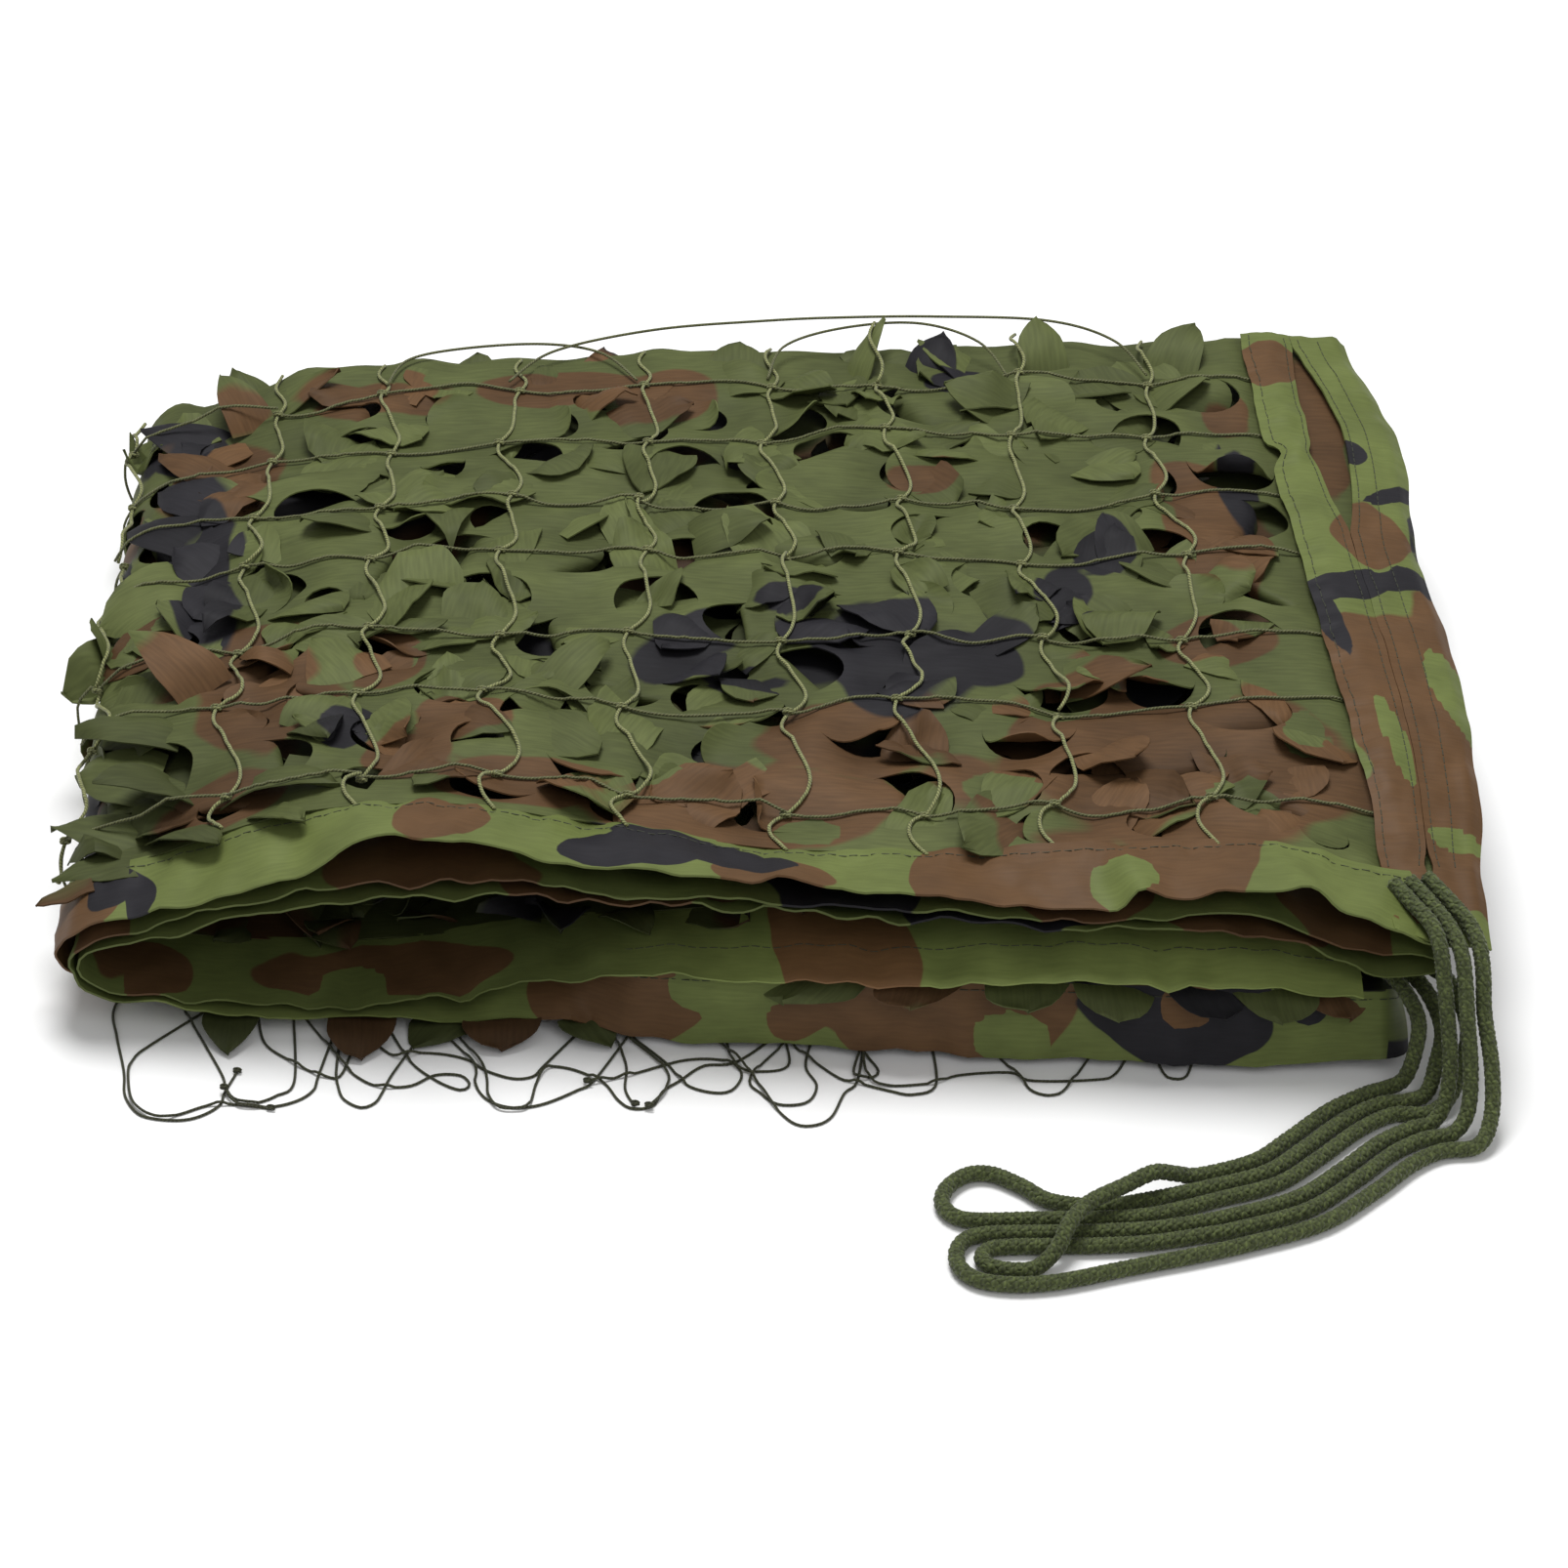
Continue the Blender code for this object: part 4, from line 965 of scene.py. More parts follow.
def curl_leaves(flat, probe, leaves):
    """How far each point of the flat sheet moves out of it and along it."""
    out, move = np.zeros(len(flat)), np.zeros((len(flat), 2))
    order = np.argsort(flat[:, 0])
    sorted_s = flat[order, 0]
    for leaf in leaves:
        wide = leaf.radius * 1.9
        first, last = np.searchsorted(sorted_s, (leaf.s - wide, leaf.s + wide))
        near = order[first:last]
        rel = flat[near] - (leaf.s, leaf.w)
        side = probe[near] - (leaf.s, leaf.w)
        way = np.array([math.cos(leaf.turn), math.sin(leaf.turn)])
        bearing = np.arctan2(side @ (-way[1], way[0]), side @ way)
        reach = leaf_reach(leaf, bearing)
        rho = np.hypot(*side.T)
        inside = rho < reach
        # A leaf curls about the chord between the ends of its cut.
        hinge = leaf.radius * math.cos(leaf.half)
        length = leaf.radius - hinge
        t = np.clip((rel @ way - hinge) / length, 0, 1)
        bend = leaf.curl / ((1 - leaf.start) * length)
        d = np.maximum(0, t - leaf.start) * length
        rise = (1 - np.cos(bend * d)) / bend
        back = np.sin(bend * d) / bend - d - leaf.drop * t**1.5
        # The cloth round it gives the other way, most beside its tip.
        fade = bump_at(rho, reach, RIM_WIDTH) * smooth_step(1.2 * (1 - np.abs(bearing) / leaf.half))
        out[near] += np.where(inside, rise, -math.copysign(RIM_LIFT, leaf.curl) * fade)
        move[near] += np.where(inside, back, 0)[:, None] * way
        move[near] += (np.where(inside, 0, RIM_DRAW * fade) / np.maximum(rho, 1))[:, None] * side
    return out, move


def patch_distance(patches, x, y):
    """How far places are from the nearest patch's middle, in that patch's own reaches."""
    nearest = np.full(np.shape(x), 9.0)
    for patch in patches:
        turn = math.radians(patch.turn)
        dx, dy = x - patch.x, y - patch.y
        u = (dx * math.cos(turn) + dy * math.sin(turn)) / patch.reach_x
        v = (-dx * math.sin(turn) + dy * math.cos(turn)) / patch.reach_y
        nearest = np.minimum(nearest, np.hypot(u, v))
    return nearest


# How strongly the patches pull the print's noise, and how far a bare one's pull reaches.
INK_PULL, BARE_REACH = 0.3, 1.25


def printed(patches, x, y, ink):
    """How much a place leans to an ink, from the patches that it lies in or near."""
    inked, bare, over = (patches.get(key, ()) for key in (ink, "bare", "over"))
    if ink == "brown":
        inked += over
    else:
        bare += over
    lean = INK_PULL * np.clip(1.5 * (1.12 - patch_distance(inked, x, y)), -1, 1)
    bare = patch_distance(bare, x, y)
    kept = -INK_PULL * np.clip(3.0 * (BARE_REACH - bare), 0, 1)
    return np.where(bare < BARE_REACH, np.minimum(lean, kept), lean)


def held_down(cords, x, y, least, near):
    """The share of its height that loose cloth keeps under and beside the cords on it."""
    gaps = np.array([min(40.0, cords.find((a, b, 0))[2]) for a, b in zip(x, y)])
    return least + (1 - least) * smooth_step((gaps - near) / 8)


def cloth_folds(cloth, flat, points):
    """Broad waves, ridges where the cloth creases, and more of both at the left and the front."""
    s, w = flat[:, 0], flat[:, 1]
    slack = 0.75 + 0.5 * ripple(s, w, 110, 2.0)
    slack += 0.5 * smooth_step((-110 - points[:, 0]) / 60) + 0.3 * smooth_step((70 - w) / 60)
    waves = ripple(s, w, 40, 1.5) + 0.4 * ripple(s, w, 15, 4.5)
    ridges = 0.45 - 1.5 * np.abs(ripple(s + 0.5 * w, w, 46, 6.5))
    return cloth.bulge * slack * (waves + 0.6 * ridges)


# A loose leaf: its root and tip, its width, how far it bows along and cups across, its tilt in
# degrees, how pointed it is from 0 to 1, and its ink.
Flap = namedtuple("Flap", "root tip width bow cup tilt point ink")
FLAPS = table(
    Flap,
    # The left overhang, from the rear corner to the front.
    ((-176, 118, 50), (-207, 134, 50), 24, 3, -2, 10, 0.8, "dark"),
    ((-168, 128, 54), (-184, 150, 60), 22, 4, -2, 0, 0.9, "green"),
    ((-172, 96, 56), (-202, 112, 51), 26, 4, -3, -8, 0.7, "brown"),
    ((-176, 78, 57), (-200, 92, 47), 26, 3, -3, 8, 0.5, "dark"),
    ((-180, 56, 57), (-206, 70, 46), 26, 4, -3, 0, 0.4, "dark"),
    ((-178, 30, 58), (-212, 22, 47), 40, 5, -4, 0, 0.1, "green"),
    ((-184, 2, 56), (-209, 0, 42), 34, 3, -3, 0, 0.2, "brown"),
    ((-172, -34, 60), (-194, -12, 64), 24, 5, -5, 10, 0.9, "brown"),
    ((-178, -52, 58), (-211, -50, 52), 28, 3, -3, -12, 0.6, "green"),
    ((-184, -72, 54), (-211, -68, 42), 30, 3, -3, 6, 0.3, "green"),
    ((-176, -82, 58), (-199, -94, 57), 26, 4, -4, 0, 0.7, "green"),
    ((-184, -98, 50), (-215, -97, 44), 24, 2, -2, 14, 0.9, "green"),
    ((-185, -108, 44), (-213, -112, 37), 22, 2, -2, 0, 0.9, "green"),
    ((-200, -118, 40), (-217, -122, 36), 9, 0, 0, 0, 0.1, "brown"),
    # Rolled tongues behind the tape and over its seam.
    ((-160, -92, 63), (-128, -106, 63), 17, 5, 6, 10, 0.2, "green"),
    ((-178, -100, 55), (-165, -122, 57), 20, 3, -3, 0, 0.5, "green"),
    ((-150, -106, 61), (-136, -122, 63), 12, 2, 3, 0, 0.3, "green"),
    # Petals that stand over the rear edge.
    ((-168, 150, 50), (-180, 163, 56), 20, 1, -2, 0, 0.8, "green"),
    ((-122, 148, 52), (-118, 163, 58), 22, 1, -2, 0, 0.7, "brown"),
    ((-96, 150, 53), (-98, 165, 60), 20, 1, -2, 0, 0.3, "green"),
    ((-50, 152, 54), (-52, 167, 62), 24, 2, -2, 0, 0.8, "brown"),
    ((-6, 152, 57), (-2, 168, 62), 24, 2, -2, 0, 0.6, "green"),
    ((34, 150, 58), (46, 166, 72), 15, 2, -3, 20, 0.9, "green"),
    ((58, 150, 58), (68, 168, 65), 22, 3, -3, 0, 0.7, "dark"),
    ((98, 150, 58), (97, 170, 70), 20, 3, -3, 0, 0.6, "green"),
    ((140, 150, 58), (148, 170, 67), 22, 3, -3, 0, 0.7, "green"),
    # Leaves of the fourth layer that hang over the fifth layer's tape.
    ((14, -145, 27), (10, -156, 21), 34, 0, 0, 0, 0.2, "green"),
    ((44, -148, 28), (46, -160, 22), 32, 0, 0, 0, 0.1, "brown"),
    ((74, -150, 29), (76, -163, 22), 30, 0, 1, 0, 0.1, "green"),
    ((100, -152, 30), (98, -165, 21), 30, 0, -1, 6, 0.3, "green"),
    ((124, -153, 30), (127, -166, 20), 26, 0, 1, 0, 0.1, "dark"),
    ((146, -154, 29), (143, -167, 21), 30, 0, -2, 0, 0.3, "green"),
    ((164, -154, 27), (168, -165, 20), 24, 0, 1, 0, 0.4, "green"),
    # Tips that reach the floor under the near left edge.
    ((-160, -132, 5), (-158, -151, 1.2), 20, 1, 0, 0, 0.8, "green"),
    ((-122, -134, 4), (-116, -153, 1.2), 24, 1, 0, 0, 0.3, "brown"),
    ((-96, -136, 4), (-102, -150, 1.2), 22, 1, 0, 0, 0.7, "green"),
    ((-80, -137, 5), (-78, -151, 1.5), 26, 1, 0, 0, 0.2, "brown"),
    ((-56, -138, 5), (-49, -151, 1.5), 20, 1, 0, 0, 0.8, "green"),
)


TOP_TRIES, MOUTH_TRIES = 225, 46


def strewn_flaps(height):
    """Leaves over the top layer and in the mouth of the stack, too many to place by hand."""
    chance = random.Random(41)
    found = []
    for _ in range(TOP_TRIES):
        x, share = chance.uniform(-202, 168), chance.uniform(0.02, 0.97)
        seam = edge_point(TOP, x, "seam")[1]
        y = seam + (rear_y(x) - seam) * share
        long, wide = chance.uniform(15, 29), chance.uniform(16, 31)
        heading = math.radians(chance.gauss(-70, 95))
        rise = math.radians(chance.uniform(-6, 20))
        z = height(x, y) - 1.2
        tip = (x + long * math.cos(heading) * math.cos(rise),
               y + long * math.sin(heading) * math.cos(rise), z + 0.8 + long * math.sin(rise))
        if tip[1] < seam + 1 or tip[0] > band_left(tip[1]) - 1:
            continue
        bow, cup, tilt = chance.uniform(0, 2.6), chance.uniform(-4, 2), chance.uniform(-20, 20)
        found.append(Flap((x, y, z), tip, wide, bow, cup, tilt, chance.random() ** 1.5, "printed"))
    for _ in range(MOUTH_TRIES):
        x, back = chance.uniform(-186, 30), chance.uniform(1, 40)
        seam = edge_point(FOURTH, x, "seam")
        y = seam[1] + back
        long, heading = chance.uniform(14, 24), math.radians(chance.gauss(-90, 55))
        z = bed_height(FOURTH, x, y, seam) - 1
        tip = (x + long * math.cos(heading), y + long * math.sin(heading) * 0.8,
               z + chance.uniform(1, 9))
        wide, bow, cup = chance.uniform(14, 22), chance.uniform(1, 4), chance.uniform(-4, 4)
        tilt = chance.uniform(-25, 25)
        found.append(Flap((x, y, z), tip, wide, bow, cup, tilt, chance.random(), "plain"))
    return found


def darker_near_left(points):
    """The cloth is darker toward its near left corner."""
    x, y = points[:, 0], points[:, 1]
    return 1 - 0.26 * smooth_step((-100 - x) / 60) * smooth_step((-20 - y) / 60)


FLAP_ROWS, FLAP_COLUMNS = 9, 6


def flap_mesh(flap, seed):
    """A flap's points, its quads and their places on the flat cloth."""
    t, v = np.meshgrid(np.linspace(0, 1, FLAP_ROWS), np.linspace(-1, 1, FLAP_COLUMNS),
                       indexing="ij")
    root, tip = np.array(flap.root, float), np.array(flap.tip, float)
    length = np.linalg.norm(tip - root)
    way = (tip - root) / length
    side = np.cross(way, (0, 0, 1.0))
    side /= np.linalg.norm(side)
    rise = np.cross(side, way)
    cos, sin = math.cos(math.radians(flap.tilt)), math.sin(math.radians(flap.tilt))
    side, rise = side * cos + rise * sin, rise * cos - side * sin
    # Its outline runs from blunt to sharp, and wavers.
    blunt, sharp = (1 - t**2.6) ** 0.5, (1 - t**1.5) ** 0.95
    half = (0.85 + 0.15 * np.sin(math.pi * 0.9 * t)) * (blunt + (sharp - blunt) * flap.point)
    half = half * flap.width / 2 * (1 + 0.18 * ripple(t * 2 + v * 0.8, v * 1.3 + seed, 1.0, 3.0))
    lean = flap.width * 0.22 * math.sin(seed * 2.1) * t**1.5
    # It bows, cups, folds along a crease and ripples.
    crease = v * math.cos(seed) + (t - 0.5) * math.sin(seed) - 0.4 * math.sin(seed * 3.3)
    high = 4 * flap.bow * t * (1 - t) + 0.45 * flap.cup * (v**2) * (0.3 + 0.7 * t)
    high = high + 0.09 * flap.width * math.sin(seed * 5.7) * np.abs(crease)
    high = high + 0.8 * ripple(t * 3, v * 1.5 + seed, 1.0, 5.0)
    points = root + (tip - root) * t[..., None]
    points = points + side * (half * v + lean)[..., None] + rise * high[..., None]
    flat = np.stack([root[0] + 260 + length * t, root[1] + 150 + half * v], -1)
    return points.reshape(-1, 3), grid_quads(FLAP_ROWS, FLAP_COLUMNS), flat.reshape(-1, 2)


# Over this share of the depth behind the tape, and this far from the right end, the cloth is calm.
CALM_SHARE, CALM_LENGTH = 0.07, 14
# The top layer's cloth lies this far below its table, whose height its folds then reach.
TOP_SINK, BAND_SINK = 2.4, 2.2
# The middle of the cloth stays this high over the floor, at its flaps a little higher.
SHEET_FLOOR, FLAP_FLOOR = 0.6, 0.7
# Painted shade of the cloth where little light reaches it, on the inner layers, and the least shade
# of what is on top.
INNER_SHADE, TOP_SHADE = 0.42, 0.44


class NET_OT_leaf_cloth(bpy.types.Operator):
    """The long leaf-cut cloth, folded into six layers, its leaves curled out of their cuts"""

    bl_idname = "camo_net.leaf_cloth"
    bl_label = "Leaf cloth"

    def execute(self, context):
        cloth = context.scene.net_cloth
        leaves = scatter_leaves(cloth)
        flat, probe, triangles = cut_sheet(leaves)
        cords = tree_of(np.concatenate(top_cords()))
        points, amount, on_top = self.folded(cloth, flat, curl_leaves(flat, probe, leaves), cords)
        x, y = points[:, 0], points[:, 1]
        values = {ink: np.where(on_top & (x > -202), printed(TOP_PATCHES, x, y, ink), 0.0)
                  for ink in INK_CLOUDS}
        # Painted light and shade on top: cloth that stands out is lighter and its hollows darker.
        # The inner layers get painted shade.
        lit = np.clip(0.95 + 0.07 * amount, 0.62, 1.08) * darker_near_left(points)
        values["shade"] = np.where(on_top, lit, INNER_SHADE)
        points, faces, flat, values = self.add_flaps(cords, points, triangles, flat, values)
        # The leaf cloth is printed through from its other side, so its inks' edges are soft.
        material = camouflage("leaf cloth, printed polyester", cloth.green, cloth, 0.12, 0.62, 0.02)
        obj = mesh_piece("leaf_cloth", points, faces, material)
        add_point_uv(obj, flat * MM)
        add_attributes(obj, **values)
        thicken(obj, cloth.thickness)
        finish_piece(obj, "garnish_cloth", "garnish_cloth")
        return {"FINISHED"}

    def folded(self, cloth, flat, curls, cords):
        """The sheet's points in the stack, how far each stands off its layer, and those on top."""
        out, move = curls
        s = np.clip(flat[:, 0] + move[:, 0], 0, SHEET_LENGTH)
        across = np.clip((flat[:, 1] + move[:, 1]) / SHEET_DEPTH, 0, 1)
        points = strip_point(s, across, cloth_point)
        normal = strip_normal(s, across, cloth_point)
        layers = layer_at(flat[:, 0])
        on_top = (layers == TOP) | (layers == -TOP)
        edge = smooth_step(across / CALM_SHARE) * smooth_step(flat[:, 0] / CALM_LENGTH)
        amount = (out + cloth_folds(cloth, flat, points)) * (0.25 + 0.75 * edge)
        amount[on_top] -= TOP_SINK * edge[on_top]
        calm = held_down(cords, points[:, 0], points[:, 1], 0.3, 1.5)
        amount = np.where(on_top & (amount > 0), amount * calm, amount)
        for layer, room in ROOMS.items():
            mask = layers == layer
            upward = amount[mask] * np.sign(normal[mask, 2])
            scaled = np.where(upward > 0, upward * room.up, upward * room.down)
            amount[mask] = scaled * np.sign(normal[mask, 2])
        amount[(layers < 0) & (layers != -TOP)] *= 0.4
        inward = points[:, 0] - band_left(points[:, 1])
        under_band = smooth_step((inward + 5) / 6) * (layers == TOP)
        amount = amount * (1 - 0.7 * under_band) - BAND_SINK * under_band
        points = points + normal * amount[:, None]
        points[:, 2] = np.maximum(points[:, 2], SHEET_FLOOR)
        # The rear edge wanders.
        rear = smooth_step((across - 0.93) / 0.07)
        points[:, 1] += rear * 5.0 * ripple(flat[:, 0], 0, 16, 9.0)
        return points, amount, on_top

    def add_flaps(self, cords, points, triangles, flat, values):
        """Joins the flaps to the sheet. Those on top dip under the cords that hold them down."""
        top = points[(values["shade"] > TOP_SHADE) & (points[:, 2] > 30)]
        tree = tree_of(top)

        def height(x, y):
            return np.mean([top[n, 2] for _, n, _ in tree.find_n((x, y, 0), 6)])

        all_points, all_flat, faces = [points], [flat], [tuple(f) for f in triangles]
        found = {name: [column] for name, column in values.items()}
        count = len(points)
        for number, flap in enumerate([*FLAPS, *strewn_flaps(height)]):
            seed = number * 0.37
            x, y, z = flap.root
            if z > 41:
                flap = flap._replace(root=(x, y, min(z, height(x, y) - 1.5)))
            made, quads, where = flap_mesh(flap, seed)
            x, y = made[:, 0], made[:, 1]
            if flap.ink == "printed":
                base = np.array([height(*spot) for spot in made[:, :2]])
                above = made[:, 2] - base
                calm = held_down(cords, x, y, 0.25, 1.0)
                made[:, 2] = base + np.where(above > 0, above * calm, above)
            made[:, 2] = np.maximum(made[:, 2], FLAP_FLOOR)
            faces += [tuple(q) for q in (quads + count).tolist()]
            count += len(made)
            for ink in INK_CLOUDS:
                if flap.ink == "printed":
                    lean = printed(TOP_PATCHES, x, y, ink)
                elif flap.ink == "plain":
                    lean = np.zeros(len(made))
                else:
                    lean = np.full(len(made), 0.16 if flap.ink == ink else -0.12)
                found[ink].append(lean)
            # Painted shade: flaps in the mouth of the stack and tips on the floor are darkest, and
            # the leaves that hang over the fifth layer's tape a little less dark. The rest differ
            # at random in tone.
            if flap.ink == "plain" or flap.root[2] < 10:
                tone = 0.5
            elif flap.root[1] < -140:
                tone = 0.75
            else:
                tone = 0.9 + 0.2 * math.sin(number * 2.9)
            found["shade"].append(tone * darker_near_left(made))
            all_points.append(made)
            all_flat.append(where)
        values = {name: np.concatenate(parts) for name, parts in found.items()}
        return np.concatenate(all_points), faces, np.concatenate(all_flat), values


# ---------------------------------------------------------------- the bindings


def binding_material(name, cloth):
    """Tape of the same polyester: lighter, closer woven and a little smoother than the cloth."""
    return camouflage(name, cloth.light, cloth, 0.07, 0.55)


class NET_OT_front_binding(bpy.types.Operator):
    """The tape sewn over the front edge of every layer, creased and puckered along its seam"""

    bl_idname = "camo_net.front_binding"
    bl_label = "Front binding"

    ACROSS = 13

    def execute(self, context):
        cloth = context.scene.net_cloth
        along = np.concatenate([
            np.arange(0, FINE_LENGTH, 2.2), np.arange(FINE_LENGTH, SHEET_LENGTH, 3.0),
            [SHEET_LENGTH],
        ])
        s, a = np.meshgrid(along, np.linspace(0, 1, self.ACROSS), indexing="ij")
        points = tape_surface(s, a).reshape(-1, 3)
        faces = [tuple(q) for q in grid_quads(len(along), self.ACROSS).tolist()]
        s, a, x = s.ravel(), a.ravel(), points[:, 0]
        material = binding_material("binding tape, printed polyester", cloth)
        obj = mesh_piece("front_tape", points, faces, material)
        add_point_uv(obj, np.stack([s + 40, a * TAPE_DEPTH + 400], 1) * MM)
        layers = layer_at(s)
        for ink in INK_CLOUDS:
            lean = np.zeros(len(x))
            for layer, patches in TAPE_PATCHES.items():
                mask = layers == layer
                lean[mask] = printed(patches, x[mask], (a[mask] - 1) * TAPE_DEPTH, ink)
            add_attributes(obj, **{ink: lean})
        # Painted shade on the tape of all layers but the top and fifth, and painted light on the
        # fourth layer's tape right of the mouth, where it turns down in the top layer's shade.
        lit = (layers == TOP) | (layers == FIFTH) | (layers == -TOP)
        hanging_painted_light = (layers == FOURTH) * smooth_step((x + 70) / 70)
        add_attributes(obj, shade=np.where(lit, 1.0, 0.7 + 0.8 * hanging_painted_light))
        thicken(obj, cloth.tape)
        finish_piece(obj, "front_binding", "front_binding")
        return {"FINISHED"}


# Folds that stand up across the tape.
Pucker = namedtuple("Pucker", "layer x wide high")
PUCKERS = table(
    Pucker,
    (TOP, 104, 5, 3.2), (TOP, -118, 7, 1.6), (TOP, 150, 6, 2.0), (FIFTH, -62, 4, 2.2),
    (FIFTH, -52, 3, 1.8), (FIFTH, 55, 3, 1.6), (FIFTH, 117, 4, 2.0), (FOURTH, 112, 4, 2.0),
    (FOURTH, -20, 5, 1.6),
)
GATHER_PITCH, TAPE_FLOOR = 6.4, 0.7


def tape_surface(s, a):
    """The creased tape at places s along it, from a = 0 at its outer edge to 1 at its seam."""
    points = strip_point(s, a, tape_point)
    layers = layer_at(s)
    soft = 1.9 * ripple(s, a * 14, 26, 2.0) + 1.2 * ripple(s + 9 * a, a * 9, 9, 5.0)
    soft += 1.9 * (0.35 - np.abs(ripple(s - 14 * a, a * 20, 17, 3.0))) * (1 - 0.6 * a)
    # The seam gathers it in small even waves.
    gather = 0.30 * np.sin(s * math.tau / GATHER_PITCH + 2 * ripple(s, 0, 30, 1.0))
    soft += gather * bump_at(a, 0.8, 0.12)
    for pucker in PUCKERS:
        fold = bump_at(points[..., 0] - pucker.x, (0.5 - a) * 6, pucker.wide)
        soft += (layers == pucker.layer) * pucker.high * fold * (1 - a) ** 0.6
    soft = np.where(layers == BOTTOM, -0.3 * np.abs(soft), soft)
    soft = soft * np.where(layers == TOP, 1.25, 1.0)
    points = points + strip_normal(s, a, tape_point) * soft[..., None]
    # Its outer edge wanders, most on the layers that show as thin lines.
    thin = np.where(np.isin(layers, (SECOND, THIRD, FOURTH)), 1.7, 1.0)
    wander = thin * (1 - a) * (1.8 * ripple(s, 0, 33, 8.0) + 1.1 * ripple(s, 0, 10, 6.0))
    points[..., 1] += wander
    points[..., 2] = np.maximum(points[..., 2] + 0.5 * wander * (layers != BOTTOM), TAPE_FLOOR)
    # Right of the mouth the fourth layer's tape turns down over the fifth's.
    x = points[..., 0]
    hang = (layers == FOURTH) * smooth_step((x + 40) / 50) * (1 - a) ** 1.5
    hang = hang * (1 - 0.6 * smooth_step((x - 150) / 20))
    return points + hang[..., None] * (0, -4.5, -5.0)


# Across the band its slit is at this share. Its fold over the front is this long, as a share of
# its length, and the slit opens between two more such shares.
BAND_SLIT, BAND_FOLD = 0.46, 0.09
SLIT_FROM, SLIT_LONG = 0.58, 0.39
SLIT_WIDE, PINCH_Y, MOUTH_Y = 5.6, 88, -134


def band_surface(u, v):
    """A point of the end band: u is 0 at its left edge and 1 at its right, v runs from its front
    edge, at -BAND_FOLD, over the corner at 0 and back to 1 at the rear."""
    behind = np.maximum(v, 0)
    level = np.full(np.shape(u), 190.0)
    seam = edge_point(TOP, level, "seam")[..., 1]
    y = seam + (rear_y(level) - seam) * behind
    left, right = band_left(y), band_right(y)
    # A pinch gathers the channel strip at two thirds of its length, and a slit parts it behind.
    pinch = bump_at(y, PINCH_Y, 6)
    inner = u <= BAND_SLIT
    u = np.where(inner, u + (0.26 - u) * 0.4 * pinch, u)
    x = left + (right - left) * u
    edge, sewn = edge_point(TOP, x, "edge"), edge_point(TOP, x, "seam")
    share = np.clip(1 + v / BAND_FOLD, 0, 1)
    front = edge + (sewn - edge) * share[..., None]
    y = np.where(v < 0, front[..., 1], sewn[..., 1] + (rear_y(x) - sewn[..., 1]) * behind)
    z = np.where(v < 0, front[..., 2], top_height(x, y))
    z = z + (1.8 + 1.5 * pinch) * bump_at(u, 0.22, 0.15) * smooth_step(behind * 8)
    parted = (v > SLIT_FROM) & (v < 0.97)
    parted = np.where(parted, np.sin(np.clip((v - SLIT_FROM) / SLIT_LONG, 0, 1) * math.pi), 0)
    opening = 0.1 + SLIT_WIDE * parted**0.8 + 1.2 * bump_at(y, MOUTH_Y, 5)
    reach = np.where(inner, u / BAND_SLIT, (1 - u) / (1 - BAND_SLIT))
    x = x + np.where(inner, -opening, opening) * reach**2
    # Creases, the puckered seam and the turned-down right edge.
    x = x + 1.5 * ripple(y, 0, 24, 2.0) * np.abs(2 * u - 1) ** 2
    z = z + 1.1 * ripple(x, y, 18, 3.0) + 0.7 * ripple(x * 2, y, 9, 7.0)
    z = z + 0.5 - 1.3 * np.abs(ripple(x, y * 0.8, 21, 5.0))
    z = z + 0.5 * np.sin(y * math.tau / 9) * bump_at(u, 0.08, 0.1)
    z = z - 2.2 * smooth_step((u - 0.9) / 0.1)
    return np.stack([x, y, z], axis=-1)


class NET_OT_end_binding(bpy.types.Operator):
    """The wide band on the top layer's end, parted along its channel by a long slit"""

    bl_idname = "camo_net.end_binding"
    bl_label = "End binding"

    INNER, OUTER = 10, 15

    def execute(self, context):
        cloth = context.scene.net_cloth
        along = np.concatenate([np.linspace(-BAND_FOLD, 0, 9)[:-1], np.linspace(0, 1, 121)])
        columns = np.concatenate([np.linspace(0, BAND_SLIT, self.INNER),
                                  np.linspace(BAND_SLIT + 1e-6, 1, self.OUTER)])
        v, u = np.meshgrid(along, columns, indexing="ij")
        points = band_surface(u, v).reshape(-1, 3)
        quads = grid_quads(len(along), len(columns))
        parted = quads[:, 0] % len(columns) == self.INNER - 1
        faces = [tuple(q) for q in quads[~parted].tolist()]
        material = binding_material("end band, printed polyester", cloth)
        obj = mesh_piece("end_band", points, faces, material)
        add_point_uv(obj, (points[:, :2] + (500, 700)) * MM)
        x, y = points[:, 0], points[:, 1]
        add_attributes(obj, shade=np.ones(len(points)),
                       **{ink: printed(BAND_PATCHES, x, y, ink) for ink in INK_CLOUDS})
        thicken(obj, cloth.tape)
        finish_piece(obj, "end_binding", "end_binding")
        return {"FINISHED"}


# ---------------------------------------------------------------- cords


def net_x(s):
    """Where a place on the net's length lies, from right to left on top and back below."""
    return -s if s < WRAP_FROM else max(s - WRAP_TO - WRAP_FROM, -WRAP_FROM)


def net_y(s, share):
    """A share of the depth behind the tape, at a place on the net's length."""
    x = net_x(s)
    start = edge_point(TOP, x, "seam")[1]
    return start + (rear_y(x) - start) * share


def net_point(s, y):
    """A point of the cord mesh's middle at a place on its length and a depth."""
    x = net_x(s)
    if s > WRAP_TO:
        return np.array([x, y, UNDER_Z])
    point = np.array([x, y, top_height(x, y) + 1.0])
    if s > WRAP_FROM:
        turn = math.pi * (s - WRAP_FROM) / (WRAP_TO - WRAP_FROM)
        point[0] -= WRAP_REACH * math.sin(turn)
        point[2] += (UNDER_Z - point[2]) * (1 - math.cos(turn)) / 2
    return point


